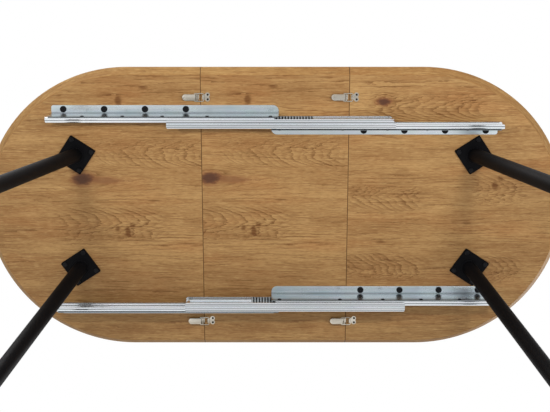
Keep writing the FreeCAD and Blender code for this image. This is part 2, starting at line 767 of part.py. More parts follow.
def make_latch_base(name):
    base = new_body(f"{name}_latch_base")
    plate = new_sketch(base, "XY_Plane", "-latch_sheet")
    draw_path(plate, rectangle("-base_start", "-base_end", "-base_width / 2", "base_width / 2"))
    draw_circle(plate, "-base_hole_near", "0", "latch_screw_shank / 2 + hole_clearance")
    draw_circle(plate, "-base_hole_far", "0", "latch_screw_shank / 2 + hole_clearance")
    pad(base, plate, "latch_sheet")
    bottom = f"(-{LATCH_AXIS} - ear_reach / 2)"
    ear = [
        ("-pivot_x - ear_reach", "-latch_sheet / 2"),
        ("-pivot_x - ear_reach / 2", bottom),
        ("-pivot_x + ear_reach / 2", bottom),
        ("-pivot_x + ear_reach", "-latch_sheet / 2"),
    ]
    outside = "(lever_width / 2 - latch_sheet - ear_gap)"
    slab(base, ear, f"-{outside}", "latch_sheet")
    slab(base, ear, f"{outside} - latch_sheet", "latch_sheet")
    pin = "(lever_width / 2)"
    rod = draw_circle(new_sketch(base, "XZ_Plane", f"-{pin}"), "-pivot_x", f"-{LATCH_AXIS}", "pivot_pin / 2")
    pad(base, rod, f"2 * {pin}")
    return base


def make_lever(name):
    lever = new_body(f"{name}_latch_lever")
    half = "(lever_width / 2)"
    tip = "(lever_tip_width / 2)"
    face = draw_path(new_sketch(lever, "XY_Plane", "-lever_drop"), [
        ("-lever_tip", f"-{tip}"),
        ("-lever_tip + lever_taper", f"-{half}"),
        ("-lever_cover_end", f"-{half}"),
        ("-lever_cover_end", half),
        ("-lever_tip + lever_taper", half),
        ("-lever_tip", tip),
    ])
    pad(lever, face, "latch_sheet")
    side = [
        ("-lever_tip + lever_taper", "-lever_drop"),
        ("-lever_heel", "-lever_drop"),
        ("-lever_heel", "-lever_drop + lever_side"),
        ("-pivot_x - bail_pivot - bail_wire", "-lever_drop + lever_side"),
    ]
    slab(lever, side, f"-{half}", "latch_sheet")
    slab(lever, side, f"{half} - latch_sheet", "latch_sheet")
    holes = new_sketch(lever, "XZ_Plane", f"-{half}")
    draw_circle(holes, "-pivot_x", f"-{LATCH_AXIS}", "pivot_pin / 2 + pivot_clearance")
    draw_circle(holes, "-pivot_x - bail_pivot", f"-{LATCH_AXIS}", "bail_wire / 2 + pivot_clearance")
    pocket(lever, holes, "lever_width", reverse=True)
    return lever


def make_bail(name):
    """Wire loop: its two ends turn in through the lever sides, its far end lies over the hook."""
    bail = new_body(f"{name}_latch_bail")
    end = "(-pivot_x - bail_pivot)"
    hook = "(hook_start + hook_length)"
    inside = "(lever_width / 2 - latch_sheet)"
    turn = "(bail_wire * 0.75)"
    path = draw_path(new_sketch(bail, "XY_Plane", f"-{LATCH_AXIS}"), [
        (end, f"-{inside}"),
        (end, f"-{BAIL_HALF} + {turn}", turn, 1),
        (f"{end} + {turn}", f"-{BAIL_HALF}"),
        (f"{hook} - bail_corner", f"-{BAIL_HALF}", "bail_corner", 1),
        (hook, f"-{BAIL_HALF} + bail_corner"),
        (hook, f"{BAIL_HALF} - bail_corner", "bail_corner", 1),
        (f"{hook} - bail_corner", BAIL_HALF),
        (f"{end} + {turn}", BAIL_HALF, turn, 1),
        (end, f"{BAIL_HALF} - {turn}"),
        (end, inside),
    ], closed=False)
    ring = draw_circle(new_sketch(bail, "XZ_Plane", inside), end, f"-{LATCH_AXIS}", "bail_wire / 2")
    wire = bail.newObject("PartDesign::AdditivePipe", f"{name}_wire")
    wire.Profile = ring
    wire.Spine = path
    return bail


def make_keeper(name):
    keeper = new_body(f"{name}_latch_keeper")
    half = "(keeper_width / 2)"
    neck = "(hook_width / 2)"
    plate = draw_path(new_sketch(keeper, "XY_Plane", "-latch_sheet"), [
        ("hook_start", f"-{neck}"),
        ("keeper_neck - keeper_corner", f"-{neck}"),
        ("keeper_neck + keeper_corner", f"-{half}"),
        ("keeper_end - keeper_corner", f"-{half}", "keeper_corner", 1),
        ("keeper_end", f"-{half} + keeper_corner"),
        ("keeper_end", f"{half} - keeper_corner", "keeper_corner", 1),
        ("keeper_end - keeper_corner", half),
        ("keeper_neck + keeper_corner", half),
        ("keeper_neck - keeper_corner", neck),
        ("hook_start", neck),
    ])
    for across in (-1, 1):
        draw_circle(plate, "keeper_hole_x", f"{across} * keeper_hole_spacing / 2",
                    "latch_screw_shank / 2 + hole_clearance")
    pad(keeper, plate, "latch_sheet")
    hook = [
        ("hook_start", "-latch_sheet / 2"),
        ("hook_start", "-hook_drop"),
        ("hook_start + hook_length", "-hook_drop"),
        ("hook_start + hook_length", "-hook_drop + latch_sheet"),
        ("hook_start + latch_sheet", "-hook_drop + latch_sheet"),
        ("hook_start + latch_sheet", "-latch_sheet / 2"),
    ]
    slab(keeper, hook, f"-{neck}", "hook_width")
    return keeper


# ---------------------------------------------------------------- the table, put together

def screw_profile(kind):
    """Half of a screw's section; its head's seat is at height 0."""
    head = f"{kind}_head / 2"
    height = f"{kind}_head_height"
    shank = f"{kind}_shank / 2"
    return [
        ("0", f"-{height}"),
        (f"{head} - {height} / 4", f"-{height}"),
        (head, f"-{height} * 3 / 4"),
        (head, "0"),
        (shank, "0"),
        (shank, f"{kind}_reach"),
        ("0", f"{kind}_reach"),
    ]


def make_screw_master(kind):
    screw = turned_master(f"{kind}_master", screw_profile(kind))
    across = "(hex_socket / 2 / cos(30))" if kind != "latch_screw" else "(latch_screw_head / 4)"
    corners = [(f"{across} * cos({60 * step})", f"{across} * sin({60 * step})") for step in range(6)]
    deep = "socket_depth" if kind != "latch_screw" else "latch_screw_head_height / 2"
    socket = draw_path(new_sketch(screw, "XY_Plane", f"-{kind}_head_height"), corners)
    pocket(screw, socket, deep, reverse=True)
    return screw


def screw_group(label, master, kind, spots):
    """Screws driven up from below, each with its head on the sheet that it holds."""
    seat = f"{UNDERSIDE} - {sheet_under(kind)}"
    return group(label, master, [(x, y, seat) for x, y in spots])


leg_screw = make_screw_master("leg_screw")
slide_screw = make_screw_master("slide_screw")
latch_screw = make_screw_master("latch_screw")
insert = turned_master("insert_master", [
    ("slide_screw_shank / 2 + screw_clearance", "0"),
    ("insert_diameter / 2", "0"),
    ("insert_diameter / 2", "insert_length"),
    ("slide_screw_shank / 2 + screw_clearance", "insert_length"),
])
ball = new_body("ball_master", keep=False)
ball_sketch = draw_path(new_sketch(ball, "XZ_Plane"), [
    ("0", f"-{BALL_RADIUS}", BALL_RADIUS, 1),
    (BALL_RADIUS, "0", BALL_RADIUS, 1),
    ("0", BALL_RADIUS),
])
ball_turn = ball.newObject("PartDesign::Revolution", "ball_turn")
ball_turn.Profile = ball_sketch
ball_turn.ReferenceAxis = (ball_sketch, ["V_Axis"])
ball_turn.Angle = 360

make_leaf_board()
make_dowels()
for hand_name, hand in HANDS.items():
    make_half_board(hand_name, hand)
    screw_group(f"{hand_name}_leg_screws", leg_screw, "leg_screw", leg_screw_spots(hand))
    screw_group(f"{hand_name}_slide_screws", slide_screw, "slide_screw", slide_screw_spots(hand))
    group(f"{hand_name}_slide_inserts", insert, [(x, y, UNDERSIDE) for x, y in slide_screw_spots(hand)])
    for side_name, side in SIDES.items():
        make_leg(f"{hand_name}_{side_name}", hand, side)
        make_bracket(f"{side_name}_{hand_name}", hand, side)
        make_rail(f"{side_name}_{hand_name}", hand, side)
        make_channel(f"{side_name}_{hand_name}", hand, side)
        make_cage(f"{side_name}_{hand_name}", hand, side, ball)
        latch_name = f"{side_name}_{hand_name}"
        latch_x, latch_y = latch_spot(hand, side)
        for maker in (make_latch_base, make_lever, make_bail, make_keeper):
            place(maker(latch_name), latch_x, latch_y, UNDERSIDE)

screw_group("left_latch_screws", latch_screw, "latch_screw", base_screw_spots(-1))
screw_group("right_keeper_screws", latch_screw, "latch_screw", keeper_screw_spots(1))
screw_group("leaf_latch_screws", latch_screw, "latch_screw", keeper_screw_spots(-1) + base_screw_spots(1))

doc.recompute()

# ---------------------------------------------------------------- check, then write

for item in doc.Objects:
    if "Invalid" in item.State or "Error" in item.State:
        raise RuntimeError(f"{item.Label} failed: {item.State}")
for node in nodes:
    if node.Shape.isNull() or not node.Shape.isValid():
        raise RuntimeError(f"{node.Label} has no valid shape")

os.makedirs("parts", exist_ok=True)
for node in nodes:
    node.Shape.exportStep(f"parts/{node.Label}.step")
    print(f"{node.Label}: {len(node.Shape.Solids)} solids, {node.Shape.Volume:.0f} mm3")
print(len(nodes), "nodes")
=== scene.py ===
import math

import bmesh
import bpy
from mathutils import Matrix, Vector


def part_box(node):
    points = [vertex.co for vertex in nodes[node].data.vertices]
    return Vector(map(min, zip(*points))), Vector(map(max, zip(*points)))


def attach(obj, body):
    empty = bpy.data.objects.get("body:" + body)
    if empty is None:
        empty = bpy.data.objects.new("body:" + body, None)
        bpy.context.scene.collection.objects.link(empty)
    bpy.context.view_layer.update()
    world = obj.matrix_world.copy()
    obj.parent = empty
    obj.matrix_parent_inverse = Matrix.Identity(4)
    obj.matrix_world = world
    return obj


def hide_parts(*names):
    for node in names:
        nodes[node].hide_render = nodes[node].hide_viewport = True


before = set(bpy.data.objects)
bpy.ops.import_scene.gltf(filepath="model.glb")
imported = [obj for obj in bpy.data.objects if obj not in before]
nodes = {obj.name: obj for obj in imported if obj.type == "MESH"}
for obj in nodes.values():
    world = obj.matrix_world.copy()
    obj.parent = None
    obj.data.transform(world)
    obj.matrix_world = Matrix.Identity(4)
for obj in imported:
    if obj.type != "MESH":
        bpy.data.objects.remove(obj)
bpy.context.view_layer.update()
scene = bpy.context.scene
scene.view_settings.view_transform = "Standard"

MM = 0.001
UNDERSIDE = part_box("left_top_panel")[0].z
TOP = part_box("left_top_panel")[1].z
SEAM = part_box("leaf_edge_band")[1].x              # from the middle of the table to a seam
HALF_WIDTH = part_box("leaf_edge_band")[1].y
TABLE_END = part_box("right_edge_band")[1].x
ARC_CENTRE = TABLE_END - HALF_WIDTH               # the sides are straight up to here
SIDES = {"front": -1, "rear": 1}
HANDS = {"left": -1, "right": 1}


# ---------------------------------------------------------------- camera
# It looks up at the table from below the floor, a little in front of the table's middle. A lens kept
# square to the table top would have to shift far. It shifts a little, and the camera tilts for the rest.

IMAGE_LONG_SIDE = 550
FULL_FRAME_SENSOR = 36
LENS = 62.0
FAR_CLIP = 60
EYE = Vector((0, -0.802, -1.775))
SQUARE_LENS = 907 / IMAGE_LONG_SIDE               # focal length of the lens kept square, in image widths
SQUARE_SHIFT = 0.525                              # its shift, in image widths
SHIFT = 0.14
tilt = math.atan(SQUARE_SHIFT / SQUARE_LENS) - math.atan(SHIFT / SQUARE_LENS)
camera_data = bpy.data.cameras.new("camera")
camera_data.sensor_width = FULL_FRAME_SENSOR
camera_data.lens = LENS
camera_data.shift_y = -SHIFT
camera_data.dof.use_dof = False
camera_data.clip_end = FAR_CLIP
camera = bpy.data.objects.new("camera", camera_data)
scene.collection.objects.link(camera)
looking = Vector((0, math.sin(tilt), math.cos(tilt)))
image_up = Vector((0, -math.cos(tilt), math.sin(tilt)))
turn = Matrix((looking.cross(image_up), image_up, -looking)).transposed()
camera.matrix_world = Matrix.Translation(EYE) @ turn.to_4x4()
scene.camera = camera


# ---------------------------------------------------------------- node helpers

MATH = "ShaderNodeMath"
VECTOR_MATH = "ShaderNodeVectorMath"
RANGE = "ShaderNodeMapRange"                      # its inputs: a value, its range, and the range it becomes
SMOOTH = {"interpolation_type": "SMOOTHSTEP"}
MIX = "ShaderNodeMix"                             # of colours: inputs 0 (factor), 6 and 7, and output 2
COLOURS = {"data_type": "RGBA"}


def linear(hex_text):
    """An sRGB hex colour as the linear colour that a shader takes."""
    values = [int(hex_text[i:i + 2], 16) / 255 for i in (1, 3, 5)]
    return tuple(v / 12.92 if v <= 0.04045 else ((v + 0.055) / 1.055) ** 2.4 for v in values) + (1.0,)


def add(tree, kind, inputs=(), **settings):
    """Add one node with its settings and links.

    inputs gives its sockets their values, in order or by name or number. A value may be another
    node's output, or a node, which stands for its first output."""
    node = tree.nodes.new(kind)
    for name, value in settings.items():
        setattr(node, name, value)
    for key, value in (inputs if isinstance(inputs, dict) else dict(enumerate(inputs))).items():
        if isinstance(value, bpy.types.Node):
            value = value.outputs[0]
        if isinstance(value, bpy.types.NodeSocket):
            tree.links.new(value, node.inputs[key])
        else:
            node.inputs[key].default_value = value
    return node


def new_material(name):
    """A material whose tree is still empty."""
    material = bpy.data.materials.new(name)
    material.use_nodes = True
    material.node_tree.nodes.clear()
    return material


def millimetres(tree, shift=(0, 0, 0), stretch=(1, 1, 1)):
    """Object coordinates in mm, moved and then divided by a stretch, for a pattern of that size."""
    place = add(tree, "ShaderNodeTexCoord").outputs["Object"]
    scale = [1 / (MM * s) for s in stretch]
    location = [d / s for d, s in zip(shift, stretch)]
    return add(tree, "ShaderNodeMapping", {"Vector": place, "Location": location, "Scale": scale})


# ---------------------------------------------------------------- wood

# Clouds that make the oak figure: size along the grain and across it in mm, detail, and their own shift.
# Real pores and fibres are a few tenths of a mm wide. They are drawn 2 to 5 mm wide, so that they show.
CLOUDS = {
    "broad": (430, 75, 2, 0),
    "slow": (105, 24, 3, 40),
    "jag": (13, 6, 2, 9),
    "ring_breaks": (120, 12, 2, 7),
    "long_fibre": (60, 3.4, 2, 3),
    "short_fibre": (15, 2.3, 2, 37),
    "soft_fibre": (26, 5.5, 2, 13),
    "streak": (170, 11, 3, 17),
    "fleck": (34, 15, 2, 23),
    "tone": (520, 42, 3, 11),
    "blush": (300, 85, 2, 29),
    "pores": (24, 3.0, 1, 5),
}
CLOUD_ROUGHNESS = 0.6
SUMS = [                                          # what is bent or built up, by which cloud, how far
    ("along", "slow", 70), ("along", "jag", 26),
    ("across", "broad", 60), ("across", "slow", 20), ("across", "jag", 5),
    ("line_y", "slow", 14), ("line_y", "jag", 4),
    ("ragged", "slow", 0.9), ("ragged", "jag", 0.5),
    ("fibre", "long_fibre", 0.9), ("fibre", "short_fibre", 0.9), ("fibre", "soft_fibre", 0.5),
    ("fibre", "streak", 0.5), ("fibre", "fleck", 0.35),
]

# Fades: where a mask is gone, and where it is full.
CREST_FADE = (1.0, 0.90)                          # across one line of late wood, in pitches
MARK_FADE = (1.25, 0.35)                          # from the middle of a mark, in reaches
KNOT_FADE = (3.2, 0.3)                            # the same, for the grain that flows round a knot
RING_BREAK_FADE = (-0.10, 0.12)
FLANK_FADE = (1.3, 0.75)                          # across an arch, in half heights
ARCH_END_FADE = (1.2, 0.75)                       # along an arch, in half reaches
PORE_FADE = (0.10, 0.22)

RING_PITCH = 9.0
RING_SHARPNESS = 2.6
RING_STRENGTH = 1.05
ARCH_SHARPNESS = 2.0
ARCH_TIP = 0.05                                   # rounds an arch off at its point
ARCH_POWER = 0.72                                 # 1 makes an arch a parabola; less makes it more pointed
LINE_STRENGTHS = (0.4, 1.0)                       # of the faintest and the darkest line
KNOT_FLOW = -0.75                                 # how far the grain is pushed apart by a knot

WOOD_LAYERS = [                                   # part, its range, the most it covers, and its colour
    ("blush", (0.0, 0.22), 0.55, "#A87444"),
    ("fibre", (0.0, -0.6), 0.80, "#83562F"),
    ("fibre", (0.0, 0.6), 0.80, "#D2AE76"),
    ("dark", (0.0, 1.0), 1.00, None),             # in the line colour of the board or band
    ("pores", (0.0, 1.0), 0.35, "#6A4424"),
    ("knot", (0.0, 0.6), 0.80, "#8E5C3A"),
    ("knot", (0.35, 1.0), 0.90, "#3F2620"),
]
TONE_RANGE = (-0.16, 0.16)
BOARD_ROUGHNESS = (0.48, 0.62)                    # beside the pores, and in them
EMBOSSED = {"Strength": 0.05, "Distance": 0.2 * MM}


def oak_figure(tree, spot, seed, arches, marks):
    """The parts of a printed oak figure, by name.

    spot is a place in mm with X along the grain, and all lengths are in mm. An arch is its middle and half
    reach along the grain, its middle and half height across it, the pitch of its lines, how far its flanks
    trail, which way it points, and its strength. A mark is its middle along and across, its reach along and
    across, its strength and its kind."""
    def late_wood(place, pitch, sharpness):
        """Lines at this pitch, each of its own strength, dark on one side and faded on the other."""
        turns = add(tree, MATH, [place, pitch], operation="DIVIDE")
        tooth = add(tree, MATH, [turns], operation="FRACT")
        line = add(tree, MATH, [tooth, sharpness], operation="POWER")
        crest = add(tree, RANGE, [tooth, *CREST_FADE], **SMOOTH)
        line = add(tree, MATH, [line, crest], operation="MULTIPLY")
        number = add(tree, MATH, [turns], operation="FLOOR")
        chance = add(tree, "ShaderNodeTexWhiteNoise", {"W": number}, noise_dimensions="1D")
        strength = add(tree, RANGE, [chance, 0, 1, *LINE_STRENGTHS])
        return add(tree, MATH, [line, strength], operation="MULTIPLY")

    clouds = {}
    for name, (along_mm, across_mm, detail, shift) in CLOUDS.items():
        place = add(tree, "ShaderNodeMapping", {"Vector": spot, "Location": (shift + seed, shift - seed, 0),
                                                "Scale": (1 / along_mm, 1 / across_mm, 0)})
        cloud = add(tree, "ShaderNodeTexNoise", {"Vector": place, "Scale": 1.0, "Detail": detail,
                                                 "Roughness": CLOUD_ROUGHNESS})
        clouds[name] = add(tree, MATH, [cloud, 0.5], operation="SUBTRACT")
    parts = add(tree, "ShaderNodeSeparateXYZ", [spot]).outputs
    sums = {"along": parts["X"], "across": parts["Y"], "line_y": parts["Y"], "ragged": 0.0, "fibre": 0.0}
    for name, cloud_name, share in SUMS:
        sums[name] = add(tree, MATH, [clouds[cloud_name], share, sums[name]], operation="MULTIPLY_ADD")
    across = sums["across"]
    line_spot = add(tree, "ShaderNodeCombineXYZ", [parts["X"], sums["line_y"]])

    knot, stain_and_shade = 0.0, 0.0
    for x, y, reach_x, reach_y, strength, kind in marks:
        place = line_spot if kind == "line" else spot
        offset = add(tree, VECTOR_MATH, [place, (x, y, 0)], operation="SUBTRACT")
        offset = add(tree, VECTOR_MATH, [offset, (1 / reach_x, 1 / reach_y, 0)], operation="MULTIPLY")
        distance = add(tree, VECTOR_MATH, [offset], operation="LENGTH").outputs["Value"]
        torn = add(tree, MATH, [distance, sums["ragged"]], operation="ADD")
        mask = add(tree, RANGE, [torn, *MARK_FADE, 0.0, strength], **SMOOTH)
        if kind == "knot":
            knot = add(tree, MATH, [mask, knot], operation="MAXIMUM")
            rise = add(tree, MATH, [parts["Y"], y], operation="SUBTRACT")
            flow = add(tree, RANGE, [distance, *KNOT_FADE, 0.0, KNOT_FLOW], **SMOOTH)
            across = add(tree, MATH, [rise, flow, across], operation="MULTIPLY_ADD")
        else:
            # Stains, and the painted shade of the broad marks at the front edge.
            stain_and_shade = add(tree, MATH, [mask, stain_and_shade], operation="ADD")

    rings = late_wood(across, RING_PITCH, RING_SHARPNESS)
    broken = add(tree, RANGE, [clouds["ring_breaks"], *RING_BREAK_FADE], **SMOOTH)
    rings = add(tree, MATH, [rings, broken], operation="MULTIPLY")
    dark = add(tree, MATH, [rings, RING_STRENGTH, stain_and_shade], operation="MULTIPLY_ADD")
    for x, half_x, y, half_y, pitch, trail, way, strength in arches:
        high = add(tree, MATH, [across, y], operation="SUBTRACT")
        high = add(tree, MATH, [high, half_y], operation="DIVIDE")
        flank = add(tree, MATH, [high, high, ARCH_TIP], operation="MULTIPLY_ADD")
        flank = add(tree, MATH, [flank, ARCH_POWER], operation="POWER")
        bent = add(tree, MATH, [flank, way * trail, sums["along"]], operation="MULTIPLY_ADD")
        far = add(tree, MATH, [high], operation="ABSOLUTE")
        sideways = add(tree, MATH, [parts["X"], x], operation="SUBTRACT")
        sideways = add(tree, MATH, [sideways], operation="ABSOLUTE")
        ends = [half_x * reach for reach in ARCH_END_FADE]
        held = add(tree, RANGE, [far, *FLANK_FADE], **SMOOTH)
        ended = add(tree, RANGE, [sideways, *ends, 0.0, strength], **SMOOTH)
        held = add(tree, MATH, [held, ended], operation="MULTIPLY")
        curve = late_wood(bent, pitch, ARCH_SHARPNESS)
        dark = add(tree, MATH, [curve, held, dark], operation="MULTIPLY_ADD")

    pores = add(tree, RANGE, [clouds["pores"], *PORE_FADE], **SMOOTH)
    return {"dark": dark, "fibre": sums["fibre"], "tone": clouds["tone"], "blush": clouds["blush"],
            "pores": pores, "knot": knot}


def wood_colour(tree, figure, pale, deep, line):
    """The wood's colour: a ground that drifts from pale to deep, with the layers of the figure over it."""
    drift = add(tree, RANGE, [figure["tone"], *TONE_RANGE])
    colour = add(tree, MIX, {0: drift, 6: linear(pale), 7: linear(deep)}, **COLOURS).outputs[2]
    for part, limits, most, tint in WOOD_LAYERS:
        if figure[part]:                          # wood without knots has 0 there
            cover = add(tree, RANGE, [figure[part], *limits, 0.0, most])
            colour = add(tree, MIX, {0: cover, 6: colour, 7: linear(tint or line)}, **COLOURS).outputs[2]
    return colour


def oak_board(name, shift, seed, arches, marks):
    """Oak-look melamine on chipboard: a warm brown print with arched grain, under a satin, embossed skin."""
    material = new_material(name)
    tree = material.node_tree
    figure = oak_figure(tree, millimetres(tree, shift), seed, arches, marks)
    shader = add(tree, "ShaderNodeBsdfPrincipled", {
        "Base Color": wood_colour(tree, figure, "#B8915D", "#9E7648", "#6B431F"), "Specular IOR Level": 0.3,
        "Roughness": add(tree, RANGE, [figure["pores"], 0, 1, *BOARD_ROUGHNESS]),
        "Normal": add(tree, "ShaderNodeBump", {"Height": figure["fibre"], **EMBOSSED})})
    add(tree, "ShaderNodeOutputMaterial", [shader])
    return material


LEFT_ARCHES = [
    (-325, 165, -168, 40, 21, 70, -1, 0.95),
    (-455, 150, 33, 46, 28, 84, 1, 1.0),
]
# The broad mark at the front edge, 440 mm in reach, is painted shade that darkens the board towards that
# edge; the broad one at y 215 darkens the left board towards the rear; the others are knots, stains, specks
# and lines of the print.
LEFT_MARKS = [
    (-527, -92, 37, 23, 0.92, "knot"),
    (-472, -89, 66, 13, 0.46, "knot"),
    (-515, -90, 78, 38, 0.22, "stain_and_shade"),
    (-330, -375, 440, 90, 0.24, "stain_and_shade"),
    (-400, 215, 210, 90, 0.20, "stain_and_shade"),
    (-333, -31, 20, 4, 0.60, "stain_and_shade"),
    (-408, 56, 9, 13, 0.75, "stain_and_shade"),
    (-394, 40, 9, 9, 0.6, "stain_and_shade"),
    (-436, 50, 8, 10, 0.45, "stain_and_shade"),
    (-302, 14, 24, 4, 0.30, "stain_and_shade"),
    (-422, -312, 11, 15, 0.70, "stain_and_shade"),
    (-354, -347, 15, 5, 0.50, "stain_and_shade"),
    (-375, 86, 80, 2.4, 0.60, "line"),
    (-275, 76, 75, 2.2, 0.55, "line"),
    (-300, 60, 60, 2.0, 0.45, "line"),
    (-350, 99, 70, 2.0, 0.45, "line"),
    (-470, 104, 60, 2.2, 0.40, "line"),
    (-270, -222, 70, 1.8, 0.35, "line"),
]
RIGHT_ARCHES = [
    (295, 130, 170, 36, 21, 68, 1, 0.95),
    (600, 90, 170, 34, 21, 60, 1, 0.90),
    (410, 150, -288, 44, 30, 105, -1, 1.0),
    (300, 100, -38, 36, 24, 60, -1, 0.9),
    (610, 70, -65, 42, 26, 70, 1, 0.95),
]
# The broad mark at the front edge, 440 mm in reach, is painted shade that darkens the board towards that
# edge; the others are a knot, its halo, specks and lines of the print.
RIGHT_MARKS = [
    (293, -309, 25, 13, 0.90, "knot"),
    (300, -309, 38, 20, 0.30, "stain_and_shade"),
    (480, -380, 440, 80, 0.16, "stain_and_shade"),
    (293, 88, 17, 5, 0.55, "stain_and_shade"),
    (530, 33, 15, 5, 0.45, "stain_and_shade"),
    (603, -75, 10, 14, 0.7, "stain_and_shade"),
    (618, -92, 9, 9, 0.5, "stain_and_shade"),
    (350, -118, 22, 8, 0.28, "stain_and_shade"),
    (318, -95, 105, 2.4, 0.50, "line"),
    (300, -83, 90, 2.0, 0.45, "line"),
    (370, -52, 85, 2.2, 0.50, "line"),
    (335, -28, 100, 2.0, 0.45, "line"),
    (470, -20, 70, 2.0, 0.40, "line"),
    (300, -350, 90, 1.8, 0.35, "line"),
]
PRINT_STEP = 348.7                                # mm from the left board's print to the same on the leaf
LEFT_SEED, RIGHT_SEED, EDGING_SEED = 0.0, 31.0, 57.0
board_left = oak_board("oak_melamine_left", (0, 0, 0), LEFT_SEED, LEFT_ARCHES, LEFT_MARKS)
board_leaf = oak_board("oak_melamine_leaf", (-PRINT_STEP, 3, 0), LEFT_SEED, LEFT_ARCHES, LEFT_MARKS)
board_right = oak_board("oak_melamine_right", (0, 0, 0), RIGHT_SEED, RIGHT_ARCHES, RIGHT_MARKS)

SEAM_LINE = 0.9                                   # mm of dark line on each side of a seam
ARRIS = 0.8                                       # mm by which the line turns down into the joint
BEVEL_START = (HALF_WIDTH - 24 * MM) / MM         # mm from the middle, just inside the bevel


def oak_edging():
    """Oak-look edge band: calm grain that runs round the rim, because the strip is bent round it.

    Where two boards meet, faces and bevel show a thin dark line. The sides of the joint stay clean."""
    material = new_material("oak_edge_band")
    tree = material.node_tree
    parts = add(tree, "ShaderNodeSeparateXYZ", [millimetres(tree)]).outputs
    reach = add(tree, MATH, [parts["X"]], operation="ABSOLUTE")
    wide = add(tree, MATH, [parts["Y"]], operation="ABSOLUTE")
    straight = add(tree, MATH, [reach, ARC_CENTRE / MM], operation="MINIMUM")
    beyond = add(tree, MATH, [reach, straight], operation="SUBTRACT")
    angle = add(tree, MATH, [beyond, wide], operation="ARCTAN2")
    rim = add(tree, MATH, [angle, HALF_WIDTH / MM, straight], operation="MULTIPLY_ADD")
    hand = add(tree, MATH, [parts["X"]], operation="SIGN")
    rim = add(tree, MATH, [rim, hand], operation="MULTIPLY")
    figure = oak_figure(tree, add(tree, "ShaderNodeCombineXYZ", [rim, parts["Z"]]), EDGING_SEED, [], [])
    colour = wood_colour(tree, figure, "#B8905A", "#A67C4B", "#8C663D")

    height = add(tree, MATH, [parts["Z"], (UNDERSIDE + TOP) / 2 / MM], operation="SUBTRACT")
    height = add(tree, MATH, [height], operation="ABSOLUTE")
    on_face = add(tree, MATH, [height, (TOP - UNDERSIDE) / 2 / MM - ARRIS], operation="GREATER_THAN")
    on_bevel = add(tree, MATH, [wide, BEVEL_START], operation="GREATER_THAN")
    shown = add(tree, MATH, [on_face, on_bevel], operation="MAXIMUM")
    seam = add(tree, MATH, [reach, SEAM / MM, SEAM_LINE], operation="COMPARE")
    seam = add(tree, MATH, [seam, shown], operation="MULTIPLY")
    shader = add(tree, "ShaderNodeBsdfPrincipled", {
        "Base Color": add(tree, MIX, {0: seam, 6: colour, 7: linear("#4A3320")}, **COLOURS).outputs[2],
        "Roughness": 0.55, "Specular IOR Level": 0.15,
        "Normal": add(tree, "ShaderNodeBump", {"Height": figure["fibre"], **EMBOSSED})})
    add(tree, "ShaderNodeOutputMaterial", [shader])
    return material


edging = oak_edging()


# ---------------------------------------------------------------- metals, paint and plastic

SPREAD = (0.3, 0.7)                               # the range that soft noise fills
PLATING_LENGTH = 4                                # how much longer than wide the clouds of a plating are
PLATING_DETAIL, FINE_DETAIL = 3.0, 2.0
HUE_PATCH = (45, 9, 9)                            # mm
ROLLING_LINE = (220, 3.2, 3.2)                    # mm; real ones are hair lines, widened so that they show
# Dark painted shade for the grooves and bends of the slides and the lower edge of a bracket web.
PAINTED_SHADE = "#1C1F22"
CAGE_PITCH = 7.95                                 # mm from ball to ball
# Painted shade in the openings of a ball cage.
OPENING_SHADE = "#141517"
WINDOW_EDGE = (0.22, 0.28)                        # share of the pitch, from the middle of a bar
WINDOW_COVER = 0.93
PAINT_PATCH = (40, 40, 40)                        # mm
GRIT_STRENGTH = 0.25


def soft_noise(tree, size, detail):
    """Noise whose patches have this size in mm along each axis."""
    return add(tree, "ShaderNodeTexNoise", {"Vector": millimetres(tree, stretch=size), "Scale": 1.0,
                                            "Detail": detail})


def plated(name, colour, worn, roughness, cloud_mm, drawn=0.0, passivated=0.0, shade_strength=0.0, windows=0.0,
           metallic=1.0):
    """Metal whose plating is cloudy, so that its colour drifts along the sheet towards a worn one.

    drawn is the strength of its rolling lines, passivated that of the faint blue, violet and green of its
    plating, the next strength that of the dark painted shade in its grooves and bends, and windows the pitch
    of a cage's openings, whose dark is painted shade."""
    material = new_material(name)
    tree = material.node_tree
    cloud = soft_noise(tree, (cloud_mm * PLATING_LENGTH, cloud_mm, cloud_mm), PLATING_DETAIL)
    wear = add(tree, RANGE, [cloud, *SPREAD])
    tint = add(tree, MIX, {0: wear, 6: linear(colour), 7: linear(worn)}, **COLOURS).outputs[2]
    if passivated:
        hue = soft_noise(tree, HUE_PATCH, FINE_DETAIL).outputs["Color"]
        hue = add(tree, VECTOR_MATH, [hue, (0.5, 0.5, 0.5)], operation="SUBTRACT")
        tint = add(tree, VECTOR_MATH, [hue, (passivated,) * 3, tint], operation="MULTIPLY_ADD")
    if drawn:
        streak = soft_noise(tree, ROLLING_LINE, FINE_DETAIL)
        streak = add(tree, RANGE, [streak, *SPREAD, 1 - drawn, 1 + drawn * 0.3])
        tint = add(tree, VECTOR_MATH, {0: tint, "Scale": streak}, operation="SCALE")
    # Painted shade: dark wherever the piece's groove attribute is high.
    if shade_strength:
        shade_mask = add(tree, "ShaderNodeAttribute", attribute_name="groove").outputs["Fac"]
        shade_mask = add(tree, MATH, [shade_mask, shade_strength], operation="MULTIPLY")
        tint = add(tree, MIX, {0: shade_mask, 6: tint, 7: linear(PAINTED_SHADE)}, **COLOURS).outputs[2]
    if windows:
        along = add(tree, "ShaderNodeSeparateXYZ", [millimetres(tree)]).outputs["X"]
        along = add(tree, MATH, [along, windows / 2], operation="PINGPONG")
        edge = [windows * share for share in WINDOW_EDGE]
        opening = add(tree, RANGE, [along, *edge, 0.0, WINDOW_COVER])
        tint = add(tree, MIX, {0: opening, 6: tint, 7: linear(OPENING_SHADE)}, **COLOURS).outputs[2]
    shader = add(tree, "ShaderNodeBsdfPrincipled", {
        "Base Color": tint, "Metallic": metallic,
        "Roughness": add(tree, RANGE, [cloud, *SPREAD, roughness - 0.05, roughness + 0.06])})
    add(tree, "ShaderNodeOutputMaterial", [shader])
    return material


